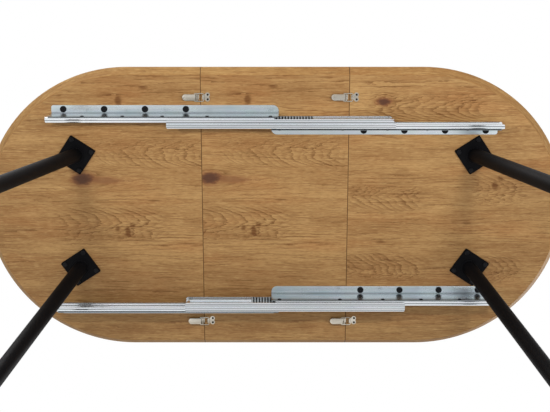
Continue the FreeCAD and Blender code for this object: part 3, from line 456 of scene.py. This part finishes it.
def painted(name, colours, roughness, grit_mm, depth_mm, shine=0.15):
    """A matt skin with an even grit, drawn about twice as coarse as the real one so that it shows."""
    material = new_material(name)
    tree = material.node_tree
    grit = soft_noise(tree, (grit_mm,) * 3, FINE_DETAIL)
    low, high = (linear(colour) for colour in colours)
    drift = soft_noise(tree, PAINT_PATCH, PLATING_DETAIL)
    shader = add(tree, "ShaderNodeBsdfPrincipled", {
        "Base Color": add(tree, MIX, {0: drift, 6: low, 7: high}, **COLOURS).outputs[2],
        "Specular IOR Level": shine,
        "Roughness": add(tree, RANGE, [grit, *SPREAD, roughness - 0.05, roughness + 0.08]),
        "Normal": add(tree, "ShaderNodeBump", {"Height": grit, "Strength": GRIT_STRENGTH,
                                               "Distance": depth_mm * MM})})
    add(tree, "ShaderNodeOutputMaterial", [shader])
    return material


# Bluish, cloudy sheet that mirrors legs and screws softly, with dark painted shade along its bend and lower
# edge.
zinc_sheet = plated("blue_zinc_plated_bracket", "#E4EBEE", "#CBD6DC", 0.27, 40, drawn=0.08, passivated=0.10,
                    shade_strength=0.75)
# Brighter, smoother rolled steel, whose grooves and bends carry dark painted shade that draws the long lines
# of a slide.
zinc_rail = plated("bright_zinc_plated_rail", "#EEF1F4", "#DDE3E8", 0.16, 60, drawn=0.04, passivated=0.06,
                   shade_strength=0.97, metallic=0.88)
# Thin pale strip whose openings are not cut but painted dark as painted shade, which reads as a dotted row
# between rail and channel.
cage_steel = plated("zinc_plated_ball_cage", "#DDE2E4", "#C2C8CB", 0.30, 8, windows=CAGE_PITCH, metallic=0.7)
# Warm grey plating with a soft highlight on every crowned or rolled edge.
nickel = plated("nickel_plated_steel", "#D6D0C4", "#B5AD9E", 0.24, 14)
# Yellow turned metal, hidden in the boards.
brass = plated("turned_brass", "#C9A55A", "#9A7A3A", 0.30, 5)
# Near black and matt, with only a faint, broad sheen.
powder_black = painted("matt_black_powder_coat", ("#08080A", "#0E0E10"), 0.55, 1.1, 0.08, shine=0.07)
# A glossier black, so that screw and rivet heads stand off from what they hold.
screw_black = painted("black_passivated_steel", ("#0F0F11", "#17171A"), 0.38, 0.8, 0.03)
# Dull, slightly greyer black of a moulded glide.
glide_black = painted("black_polyethylene", ("#1A1A1B", "#242425"), 0.62, 1.5, 0.05)
# Pale, dry wood of the turned dowels.
beech = painted("raw_beech", ("#C79D6C", "#D9B486"), 0.7, 1.2, 0.1)

FINISHES = {                                      # by the end of a node's name
    "left_top_panel": board_left, "centre_leaf_panel": board_leaf, "right_top_panel": board_right,
    "edge_band": edging, "leaf_dowels": beech,
    "leg_plate": powder_black, "leg_tube": powder_black, "foot_glide": glide_black, "leg_screws": screw_black,
    "slide_screws": screw_black, "slide_inserts": brass, "slide_bracket": zinc_sheet,
    "slide_rail": zinc_rail, "beam_channel": zinc_rail, "ball_cage": cage_steel,
    "latch_base": nickel, "latch_lever": nickel, "latch_bail": nickel, "latch_keeper": nickel,
    "latch_screws": screw_black, "keeper_screws": screw_black,
}

for name, node in nodes.items():
    if not node.material_slots:
        node.data.materials.append(None)
    for slot in node.material_slots:
        slot.material = next(finish for ending, finish in FINISHES.items() if name.endswith(ending))


# ---------------------------------------------------------------- how a piece is made

SAME_POINT = 0.01 * MM
SHEET_CREASE, BEAD_CREASE = 40, 60                # degrees up to which an edge is smooth


def finish_piece(name, bm, material, body, crease=SHEET_CREASE):
    """Turn a bmesh into a piece of the table: outward faces, smooth up to the crease angle."""
    bmesh.ops.remove_doubles(bm, verts=bm.verts, dist=SAME_POINT)
    bmesh.ops.recalc_face_normals(bm, faces=bm.faces)
    for face in bm.faces:
        face.smooth = True
    for edge in bm.edges:
        edge.smooth = edge.is_manifold and edge.calc_face_angle(0) < math.radians(crease)
    mesh = bpy.data.meshes.new(name)
    bm.to_mesh(mesh)
    bm.free()
    mesh.materials.append(material)
    piece = bpy.data.objects.new(name, mesh)
    scene.collection.objects.link(piece)
    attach(piece, body)
    return piece


def skin(bm, rows, closed_path=False):
    """Faces between rows of points, each round a closed section. An open run is capped at both ends."""
    loops = [[bm.verts.new(point) for point in row] for row in rows]
    count = len(loops[0])
    for i in range(len(loops) if closed_path else len(loops) - 1):
        here, there = loops[i], loops[(i + 1) % len(loops)]
        for j in range(count):
            k = (j + 1) % count
            bm.faces.new((here[j], here[k], there[k], there[j]))
    if not closed_path:
        bm.faces.new(loops[0])
        bm.faces.new(list(reversed(loops[-1])))


def plate(bm, outline, low, high, across="z"):
    """A flat plate from an outline; across names the axis of its thickness."""
    def point(u, v, w):
        return (u, v, w) if across == "z" else (u, w, v)
    bottom = [bm.verts.new(point(u, v, low)) for u, v in outline]
    top = [bm.verts.new(point(u, v, high)) for u, v in outline]
    bm.faces.new(bottom)
    bm.faces.new(list(reversed(top)))
    for i in range(len(outline)):
        j = (i + 1) % len(outline)
        bm.faces.new((bottom[i], bottom[j], top[j], top[i]))


def arc(centre, radius, start, end, steps):
    """Points of an arc, both ends included; angles in degrees."""
    angles = [math.radians(start + (end - start) * i / steps) for i in range(steps + 1)]
    return [(centre[0] + radius * math.cos(a), centre[1] + radius * math.sin(a)) for a in angles]


# ---------------------------------------------------------------- weld beads

WELD_STEPS = 132
WELD_RADIUS = 3.2 * MM
WELD_RIPPLES, RIPPLE = 33, 0.14                   # round a tube, and height as a share of the radius
WELD_SWELLS, SWELL = 3, 0.10
BEAD_SECTION = (0, 315, 7)                        # degrees from and to, and steps


def make_welds(hand_name):
    """Rippled weld beads where the two leg tubes of one half meet their plates."""
    bm = bmesh.new()
    for side_name in SIDES:
        low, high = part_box(f"{hand_name}_{side_name}_leg_plate")
        centre = (low + high) / 2
        glide_low, glide_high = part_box(f"{hand_name}_{side_name}_foot_glide")
        tube = (glide_high.x - glide_low.x) / 2
        rows = []
        for i in range(WELD_STEPS):
            angle = 2 * math.pi * i / WELD_STEPS
            height = 1 + RIPPLE * math.cos(WELD_RIPPLES * angle) + SWELL * math.sin(WELD_SWELLS * angle)
            section = arc((0, 0), WELD_RADIUS * height, *BEAD_SECTION)
            rows.append([(centre.x + (tube + x) * math.cos(angle), centre.y + (tube + x) * math.sin(angle),
                          low.z + z) for x, z in section])
        skin(bm, rows, closed_path=True)
    finish_piece(f"{hand_name}_weld_beads", bm, powder_black, f"{hand_name}_half", BEAD_CREASE)


for hand_name in HANDS:
    make_welds(hand_name)


# ---------------------------------------------------------------- latches
# Lengths along a latch are from its seam, and drops are from the underside of the boards.

LATCH_SHEET = 1 * MM
PIVOT_X, PIVOT_DROP = 9 * MM, 6.5 * MM
EAR_RADIUS = 3.4 * MM
EAR_OVERLAP = 1 * MM                              # of an ear with the side of the cover
LEVER_HALF = 9 * MM
LEVER_COVER_END = 13.5 * MM
LEVER_SHOULDER = 40 * MM
LEVER_TIP = 49 * MM
LEVER_DROP = 10 * MM
LEVER_SIDE = 5.6 * MM
LEVER_ROLL, LEAST_ROLL = 2.2 * MM, 0.15 * MM      # radius of the rolled sides, and the least inside
LEVER_WAIST = 0.3 * MM
LEVER_CROWN = 0.25 * MM
INNER_CROWN = 0.1                                 # how much flatter the inside is, as a share of the sheet
ROLL_ANGLES = (0, 30, 60, 90)
COVER_STEPS = 8
TIP_ANGLES = range(10, 90, 10)                    # sections come closer together towards the tip
TIP_GAP = 0.1 * MM                                # the last section stays this far from the tip
TIP_HALF = 1.2 * MM
TIP_RISE, RISE_POWER = 2.6 * MM, 1.3
OUTLINE_POWER = 2.6                               # 2 would make the tip an ellipse
SIDE_POWER = 0.8                                  # how soon the sides run out towards the tip
LEAST_SIDE = 1.05                                 # in sheet thicknesses
WIDEST_ROLL = 0.8                                 # share of the half width


def make_lever(side_name, hand_name):
    """Pressed latch lever: crowned cover with rolled sides, a rounded tip bent up, and two pivot ears."""
    node = f"{side_name}_{hand_name}_latch_lever"
    low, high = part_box(node)
    seam_x, middle_y = low.x + LEVER_TIP, (low.y + high.y) / 2
    cover, tip = LEVER_SHOULDER - LEVER_COVER_END, LEVER_TIP - LEVER_SHOULDER
    stations = [LEVER_COVER_END + cover * i / COVER_STEPS for i in range(COVER_STEPS + 1)]
    stations += [LEVER_SHOULDER + tip * math.sin(math.radians(a)) for a in TIP_ANGLES]
    stations.append(LEVER_TIP - TIP_GAP)
    rows = []
    for s in stations:
        beyond = max(0.0, (s - LEVER_SHOULDER) / tip)
        outside = UNDERSIDE - LEVER_DROP + TIP_RISE * beyond ** RISE_POWER
        side = max(LATCH_SHEET * LEAST_SIDE, LEVER_SIDE * (1 - beyond) ** SIDE_POWER)
        half = max(LEVER_HALF * (1 - beyond ** OUTLINE_POWER) ** 0.5, TIP_HALF)
        roll = min(LEVER_ROLL, half * WIDEST_ROLL, side)
        half -= LEVER_WAIST * math.sin(math.pi * min(1.0, (s - LEVER_COVER_END) / cover))
        lines = []
        for inset in (0.0, LATCH_SHEET):
            r, w, z = max(roll - inset, LEAST_ROLL), half - inset, outside + inset
            bend = [(r - r * math.cos(math.radians(a)), r - r * math.sin(math.radians(a)))
                    for a in ROLL_ANGLES]
            line = [(-w, outside + side)] + [(-w + p, z + q) for p, q in bend]
            line.append((0, z - LEVER_CROWN + inset * INNER_CROWN))
            line += [(w - q, z + p) for p, q in bend] + [(w, outside + side)]
            lines.append(line)
        outer, inner = lines
        rows.append([(seam_x - s, middle_y + y, z) for y, z in outer + list(reversed(inner))])
    bm = bmesh.new()
    skin(bm, rows)
    ear = arc((seam_x - PIVOT_X, UNDERSIDE - PIVOT_DROP), EAR_RADIUS, -90, 90, 10)
    ear_end = seam_x - LEVER_COVER_END - EAR_OVERLAP
    ear += [(ear_end, UNDERSIDE - LEVER_DROP + LEVER_SIDE), (ear_end, UNDERSIDE - LEVER_DROP + LATCH_SHEET)]
    for way in (-1, 1):
        sheet = sorted((middle_y + way * (LEVER_HALF - LATCH_SHEET), middle_y + way * LEVER_HALF))
        plate(bm, ear, *sheet, across="y")
    piece = finish_piece(f"{side_name}_{hand_name}_pressed_lever", bm, nickel,
                         f"{side_name}_{hand_name}_lever")
    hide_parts(node)


KEEPER_START = 4.5 * MM
KEEPER_HALF = 6 * MM
KEEPER_NECK = [(KEEPER_START, -KEEPER_HALF), (8.6 * MM, -KEEPER_HALF), (10.6 * MM, -7 * MM)]
LOBE_X, LOBE_Y, LOBE_RADIUS = 18.6 * MM, 6.1 * MM, 6.4 * MM
LOBE_ARC = (205, 395, 16)                         # degrees from and to, and steps
LOBES_MEET = 4.6 * MM                             # past the middle of the lobes
HOOK = [(4.5, -0.5), (4.5, -4.2), (4.75, -4.75), (5.3, -5), (8.7, -5), (8.7, -4), (5.9, -4), (5.6, -3.8),
        (5.5, -3.4), (5.5, -0.5)]                 # mm from the seam, and mm from the underside


def make_keeper(side_name, hand_name):
    """Latch keeper with two round lobes for its screws, a waist, and a folded hook."""
    node = f"{side_name}_{hand_name}_latch_keeper"
    low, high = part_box(node)
    seam_x, middle_y = low.x - KEEPER_START, (low.y + high.y) / 2
    half = [(KEEPER_START, 0)] + KEEPER_NECK + arc((LOBE_X, -LOBE_Y), LOBE_RADIUS, *LOBE_ARC)
    half.append((LOBE_X + LOBES_MEET, 0))
    outline = half + [(x, -y) for x, y in reversed(half[1:-1])]
    bm = bmesh.new()
    plate(bm, [(seam_x + x, middle_y + y) for x, y in outline], UNDERSIDE - LATCH_SHEET, UNDERSIDE)
    hook = [(seam_x + x * MM, UNDERSIDE + z * MM) for x, z in HOOK]
    plate(bm, hook, middle_y - KEEPER_HALF, middle_y + KEEPER_HALF, across="y")
    body = "centre_leaf" if hand_name == "left" else "right_half"
    piece = finish_piece(f"{side_name}_{hand_name}_pressed_keeper", bm, nickel, body)
    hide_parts(node)


for side_name in SIDES:
    for hand_name in HANDS:
        make_lever(side_name, hand_name)
        make_keeper(side_name, hand_name)


# ---------------------------------------------------------------- rolled rails and channels, bent brackets
# A section's w runs from its back to its mouth, and its v up and down from its middle.

SLIDE_STEEL = 1.6 * MM
CHANNEL = {"bend": 4.2 * MM, "lip": 1.2 * MM, "race": 9 * MM, "groove": 0.9 * MM, "edge": 1.5 * MM}
RAIL = {"bend": 4.8 * MM, "lip": 0, "race": 8.3 * MM, "groove": 1.4 * MM, "edge": 0.79 * MM}
BESIDE_BEND, BESIDE_EDGE = 0.3 * MM, 0.2 * MM     # flat sheet that is left beside a groove
OUTER_GROOVE = (2.8 * MM, 28)                     # half width and steps
RAIL_INNER_GROOVE = (2.9 * MM, 30)
LIPPED_GROOVE = (1.9 * MM, -0.3 * MM, 16)         # half width, depth and steps, inside a lip
CHANNEL_CORNER, RAIL_CORNER = 5 * MM, 4 * MM
OUTER_CORNER, INNER_CORNER = 6 * MM, 16 * MM      # of a bracket, at the table's end and its middle
SLANTED_END = 9 * MM
TAB_FROM_END, TAB_LENGTH = 5 * MM, 9 * MM
TAB_FOOT, TAB_HEIGHT = 1 * MM, 20 * MM            # above the lower edge of the channel
TAB_STEEL = 1.3 * MM
BRACKET_STEEL, BRACKET_BEND = 2 * MM, 0.5 * MM
FLAT_AT_BEND = 0.25 * MM
LOW_POINTS = range(1, 20)                         # mm above a web's lower edge, where the painted shade fades
HIGH_POINTS = range(18, 3, -2)                    # mm below its upper edge
FLANGE_POINTS = [0.3 + 0.7 * i / 20 for i in range(21)]
# Spots of painted shade in the grooves and bends of the slides, and along a bracket's bend and web edge.
CHANNEL_SHADE_SPOTS = [(9 * MM, 0.8 * MM), (4.4 * MM, 0)]     # w, and how far inside the flange's outer face
RAIL_SHADE_SPOT = (8.3 * MM, 1.2 * MM)
CHANNEL_SHADE_REACH, RAIL_SHADE_REACH = 1.5 * MM, 1.6 * MM    # how far the painted shade reaches
BEND_SHADE_REACH, WEB_SHADE_REACH = 3 * MM, 15 * MM


def rounded_tab(left, right, low, high):
    """Outline of a tab with a half-round top."""
    radius = (right - left) / 2
    return [(left, low), (right, low)] + arc(((left + right) / 2, high - radius), radius, 0, 180, 10)


def groove_run(start, end, level, middle, half_width, depth, steps):
    """Part of a section at one level, with a smooth groove rolled into it."""
    line = []
    for i in range(steps + 1):
        w = start + (end - start) * i / steps
        near = abs(w - middle) / half_width
        line.append((w, level + (depth * 0.5 * (1 + math.cos(math.pi * near)) if near < 1 else 0.0)))
    return line


def rolled_section(half, depth, bend, lip, race, groove, edge):
    """Closed C section with bent corners and rounded mouth edges, and a ball groove along each flange."""
    steel = SLIDE_STEEL
    outer_width, outer_steps = OUTER_GROOVE
    outer = [(0, 0)] + arc((bend, bend - half), bend, 180, 270, 8)
    outer += groove_run(bend + BESIDE_BEND, depth - edge - BESIDE_EDGE, -half, race, outer_width, groove,
                        outer_steps)
    outer += arc((depth - edge, edge - half), edge, 270, 360, 6)
    if lip:
        inner = [(depth, steel + lip - half), (depth - steel, steel + lip - half)]
        inner += groove_run(depth - steel, bend + BESIDE_BEND, steel - half, race, *LIPPED_GROOVE)
    else:
        inner_width, inner_steps = RAIL_INNER_GROOVE
        inner = groove_run(depth, bend + BESIDE_BEND, steel - half, race, inner_width, groove, inner_steps)
    inner += arc((bend, bend - half), bend - steel, 270, 180, 5) + [(steel, 0)]
    lower = outer + inner
    return lower + [(w, -v) for w, v in reversed(lower[1:-1])]


def angle_section(half, depth):
    """Closed section of a bracket: an upright web, and a flange along its upper edge."""
    steel, bend = BRACKET_STEEL, BRACKET_BEND + BRACKET_STEEL
    corner = (bend, half - bend)
    flange = [bend + FLAT_AT_BEND] + [depth * share for share in FLANGE_POINTS]
    outline = [(0, -half), (steel, -half)]
    outline += [(steel, i * MM - half) for i in LOW_POINTS]
    outline += [(steel, half - i * MM) for i in HIGH_POINTS]
    outline.append((steel, half - bend - FLAT_AT_BEND))
    outline += arc(corner, BRACKET_BEND, 180, 90, 3)
    outline += [(w, half - steel) for w in flange]
    outline += [(w, half) for w in reversed(flange)]
    return outline + arc(corner, bend, 90, 180, 5) + [(0, half - bend - FLAT_AT_BEND)]


def corner_cut(depth, radius, slant=0.0):
    """How far the end of a section is cut back at a distance w from its back."""
    def cut(w):
        from_mouth = depth - w
        rounded = radius - math.sqrt(radius ** 2 - (radius - from_mouth) ** 2) if from_mouth < radius else 0.0
        return rounded + slant * w / depth
    return cut


def run_section(name, node, outline, back_y, cuts, body, material, shade_spots, tab=None):
    """Run a section along a CAD node from its back at back_y, cut its two ends, and stand it for the node.

    The spots are places of the section where dark shade is painted, fading out over each reach, each as (w,
    v, reach).
    tab is the end that has a stop tab, bent up from the lower flange across the mouth."""
    low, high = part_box(node)
    turn = 1 if (low.y + high.y) / 2 > back_y else -1
    middle = (low.z + high.z) / 2
    left_cut, right_cut = cuts
    bm = bmesh.new()
    skin(bm, [[(low.x + left_cut(w), back_y + turn * w, middle + v) for w, v in outline],
              [(high.x - right_cut(w), back_y + turn * w, middle + v) for w, v in outline]])
    # Painted shade: 1 at each spot, fading to 0 over its reach.
    shade_mask = bm.verts.layers.float.new("groove")
    for vert in bm.verts:
        spot = Vector((turn * (vert.co.y - back_y), vert.co.z - middle))
        vert[shade_mask] = max([0.0] + [1 - (spot - Vector((w, v))).length / reach for w, v, reach in shade_spots])
    if tab:
        near = high.x - TAB_FROM_END - TAB_LENGTH if tab > 0 else low.x + TAB_FROM_END
        mouth = back_y + turn * (high.y - low.y - SLIDE_STEEL)
        sheet = sorted((mouth, mouth + turn * TAB_STEEL))
        tab_outline = rounded_tab(near, near + TAB_LENGTH, low.z + TAB_FOOT, low.z + TAB_HEIGHT)
        plate(bm, tab_outline, *sheet, across="y")
    piece = finish_piece(name, bm, material, body)
    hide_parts(node)


def make_channel(side_name, hand_name, beam_y):
    """One of a beam's two channels, back to back at beam_y. The front left one has a slanted inner end."""
    node = f"{side_name}_{hand_name}_beam_channel"
    low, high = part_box(node)
    half, depth = (high.z - low.z) / 2, high.y - low.y
    slant = SLANTED_END if (side_name, hand_name) == ("front", "left") else 0.0
    cuts = (corner_cut(depth, CHANNEL_CORNER), corner_cut(depth, CHANNEL_CORNER, slant))
    outline = rolled_section(half, depth, **CHANNEL)
    # Painted shade in the ball grooves and bends of both flanges.
    shade_spots = [(w, way * (half - sunk), CHANNEL_SHADE_REACH) for w, sunk in CHANNEL_SHADE_SPOTS for way in (1, -1)]
    run_section(f"{side_name}_{hand_name}_rolled_channel", node, outline, beam_y, cuts,
                f"{side_name}_beam", zinc_rail, shade_spots, tab=-HANDS[hand_name])


def make_rail(side_name, hand_name, beam_y):
    """A rail, whose mouth faces the beam. Returns where its back is."""
    node = f"{side_name}_{hand_name}_slide_rail"
    low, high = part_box(node)
    half, depth = (high.z - low.z) / 2, high.y - low.y
    back_y = high.y if low.y > beam_y else low.y
    cut = corner_cut(depth, RAIL_CORNER)
    outline = rolled_section(half, depth, **RAIL)
    w, sunk = RAIL_SHADE_SPOT
    # Painted shade in the ball grooves of both flanges.
    shade_spots = [(w, way * (half - sunk), RAIL_SHADE_REACH) for way in (1, -1)]
    run_section(f"{side_name}_{hand_name}_rolled_rail", node, outline, back_y, (cut, cut),
                f"{hand_name}_half", zinc_rail, shade_spots)
    return back_y


def make_bracket(side_name, hand_name, rail_y):
    """The angle that carries a rail. Its web stands against the rail's back at rail_y."""
    node = f"{side_name}_{hand_name}_slide_bracket"
    low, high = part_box(node)
    half, depth = (high.z - low.z) / 2, high.y - low.y
    back_y = high.y if (low.y + high.y) / 2 < rail_y else low.y
    cuts = [corner_cut(depth, OUTER_CORNER), corner_cut(depth, INNER_CORNER)]
    if hand_name == "right":
        cuts.reverse()
    # Painted shade along the bend and up from the lower edge of the web.
    shade_spots = [(BRACKET_STEEL, half - 1 * MM, BEND_SHADE_REACH), (BRACKET_STEEL, 1 * MM - half, WEB_SHADE_REACH)]
    run_section(f"{side_name}_{hand_name}_bent_bracket", node, angle_section(half, depth), back_y, cuts,
                f"{hand_name}_half", zinc_sheet, shade_spots)


for side_name in SIDES:
    boxes = [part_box(f"{side_name}_{hand_name}_beam_channel") for hand_name in HANDS]
    beam_y = sum(low.y + high.y for low, high in boxes) / 4
    for hand_name in HANDS:
        make_channel(side_name, hand_name, beam_y)
        rail_y = make_rail(side_name, hand_name, beam_y)
        make_bracket(side_name, hand_name, rail_y)


# ---------------------------------------------------------------- rivets on the brackets

RIVET_SPOTS = (12, 180, 299, 405, 512)            # mm from the middle of the table
RIVET_DROP = 43.5 * MM                            # from the underside of the boards
RIVET_RADIUS = 5.4 * MM
RIVET_HEIGHT = 1.8 * MM


def make_rivet_tree():
    """Geometry nodes: a low black rivet head on each point of the mesh, its axis along Y."""
    tree = bpy.data.node_groups.new("pressed_buttons", "GeometryNodeTree")
    tree.interface.new_socket("Geometry", in_out="OUTPUT", socket_type="NodeSocketGeometry")
    inputs = {"Geometry": "Geometry", "Radius": "Float", "Height": "Float", "Material": "Material"}
    for name, kind in inputs.items():
        tree.interface.new_socket(name, in_out="INPUT", socket_type=f"NodeSocket{kind}")
    given = add(tree, "NodeGroupInput").outputs
    ball = add(tree, "GeometryNodeMeshUVSphere", {"Segments": 20, "Rings": 10, "Radius": 1.0})
    size = add(tree, "ShaderNodeCombineXYZ", [given["Radius"], given["Height"], given["Radius"]])
    head = add(tree, "GeometryNodeTransform", {"Geometry": ball, "Scale": size})
    placed = add(tree, "GeometryNodeInstanceOnPoints", {"Points": given["Geometry"], "Instance": head})
    real = add(tree, "GeometryNodeRealizeInstances", {"Geometry": placed})
    smooth = add(tree, "GeometryNodeSetShadeSmooth", {"Geometry": real})
    coated = add(tree, "GeometryNodeSetMaterial", {"Geometry": smooth, "Material": given["Material"]})
    add(tree, "NodeGroupOutput", {"Geometry": coated})
    return tree


def grow(name, points, tree, values, body):
    """Run a geometry node tree on loose points, and keep its result as a plain mesh on a body."""
    mesh = bpy.data.meshes.new(name)
    mesh.from_pydata(points, [], [])
    piece = bpy.data.objects.new(name, mesh)
    scene.collection.objects.link(piece)
    modifier = piece.modifiers.new("pattern", "NODES")
    modifier.node_group = tree
    for item in tree.interface.items_tree:
        if item.in_out == "INPUT" and item.name in values:
            modifier[item.identifier] = values[item.name]
    evaluated = piece.evaluated_get(bpy.context.evaluated_depsgraph_get())
    grown = bpy.data.meshes.new_from_object(evaluated)
    piece.modifiers.clear()
    piece.data = grown
    grown.name = name
    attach(piece, body)


rivet_tree = make_rivet_tree()
rivet_values = {"Radius": RIVET_RADIUS, "Height": RIVET_HEIGHT, "Material": screw_black}
for hand_name, hand in HANDS.items():
    points = []
    for side_name in SIDES:
        low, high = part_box(f"{side_name}_{hand_name}_slide_rail")
        bracket_low, bracket_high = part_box(f"{side_name}_{hand_name}_slide_bracket")
        outward = 1 if bracket_low.y + bracket_high.y > low.y + high.y else -1
        web_y = (high.y if outward > 0 else low.y) + outward * BRACKET_STEEL
        points += [(hand * x * MM, web_y, UNDERSIDE - RIVET_DROP) for x in RIVET_SPOTS]
    grow(f"{hand_name}_pressed_buttons", points, rivet_tree, rivet_values, f"{hand_name}_half")


# ---------------------------------------------------------------- floor, backdrop and lamps

FLOOR_REACH = 14
FLOOR_FADE = (1.6, 5.0)                           # metres from the middle
# The glow that steel mirrors is a painted reflection; its dimmer middle is painted shade of the table.
GLOW_MIDDLE = (0, 0.05, 0)
GLOW_RADII, GLOW_STRENGTHS = (0.1, 0.75), (0.62, 1.0)
WORLD_LIGHT = 0.18
LAMPS = [                                         # name, place, aim, size, watts, mirrored by steel
    ("low_right", (0.74, -0.62, -0.20), (0.4, -0.1, UNDERSIDE), (0.15, 0.1), 4.0, False),
    ("low_left", (-0.74, -0.62, -0.20), (-0.4, -0.1, UNDERSIDE), (0.15, 0.1), 3.35, False),
    ("low_middle", (0.0, -0.60, -0.20), (0.0, -0.1, UNDERSIDE), (0.7, 0.15), 2.85, False),
    ("high_key", (-1.8, -2.6, 3.2), (0, 0, 0.6), (2.2, 2.2), 92, True),
    ("high_fill", (2.6, 1.6, 2.6), (0, 0, 0.6), (2.4, 2.4), 50, True),
]


def make_floor():
    """Pale floor that shows only from above, and fades to the white of the backdrop far out.

    Steel mirrors it as a painted glow, with painted shade that makes it a little dimmer under the middle of
    the table."""
    mesh = bpy.data.meshes.new("floor")
    corners = [(x * FLOOR_REACH, y * FLOOR_REACH, 0) for x, y in ((-1, -1), (1, -1), (1, 1), (-1, 1))]
    mesh.from_pydata(corners, [], [(0, 1, 2, 3)])
    floor = bpy.data.objects.new("floor", mesh)
    scene.collection.objects.link(floor)
    material = new_material("pale_floor")
    tree = material.node_tree
    place = add(tree, "ShaderNodeTexCoord").outputs["Object"]
    far = add(tree, VECTOR_MATH, [place], operation="LENGTH").outputs["Value"]
    far = add(tree, RANGE, [far, *FLOOR_FADE], **SMOOTH)
    grey = add(tree, "ShaderNodeBsdfDiffuse", {"Color": linear("#EEEDEB")})
    white = add(tree, "ShaderNodeEmission", {"Strength": 1.0})
    shown = add(tree, "ShaderNodeMixShader", [far, grey, white])
    # Painted shade in the mirrored glow, dimmest at the middle.
    aside = add(tree, VECTOR_MATH, [place, GLOW_MIDDLE], operation="DISTANCE").outputs["Value"]
    glow = add(tree, RANGE, [aside, *GLOW_RADII, *GLOW_STRENGTHS])
    glow = add(tree, "ShaderNodeEmission", {"Strength": glow})
    mirrored = add(tree, "ShaderNodeLightPath").outputs["Is Glossy Ray"]
    shown = add(tree, "ShaderNodeMixShader", [mirrored, shown, glow])
    below = add(tree, "ShaderNodeNewGeometry").outputs["Backfacing"]
    shown = add(tree, "ShaderNodeMixShader", [below, shown, add(tree, "ShaderNodeBsdfTransparent")])
    add(tree, "ShaderNodeOutputMaterial", [shown])
    mesh.materials.append(material)
    floor.visible_shadow = False


def make_world():
    """White backdrop for the eye, in mirrors and through clear things, and a dimmer light on the table."""
    world = bpy.data.worlds.new("studio")
    scene.world = world
    world.use_nodes = True
    tree = world.node_tree
    tree.nodes.clear()
    path = add(tree, "ShaderNodeLightPath").outputs
    direct = add(tree, MATH, [path["Is Camera Ray"], path["Is Glossy Ray"]], operation="MAXIMUM")
    direct = add(tree, MATH, [direct, path["Is Transmission Ray"]], operation="MAXIMUM")
    strength = add(tree, RANGE, [direct, 0, 1, WORLD_LIGHT, 1.0])
    back = add(tree, "ShaderNodeBackground", {"Color": (1, 1, 1, 1), "Strength": strength})
    add(tree, "ShaderNodeOutputWorld", [back])


make_floor()
make_world()
for name, spot, target, size, power, mirrored in LAMPS:
    data = bpy.data.lights.new(name, "AREA")
    data.shape = "RECTANGLE"
    data.size, data.size_y = size
    data.energy = power
    lamp = bpy.data.objects.new(name, data)
    lamp.location = spot
    lamp.rotation_euler = (Vector(target) - Vector(spot)).to_track_quat("-Z", "Y").to_euler()
    lamp.visible_glossy = mirrored
    scene.collection.objects.link(lamp)
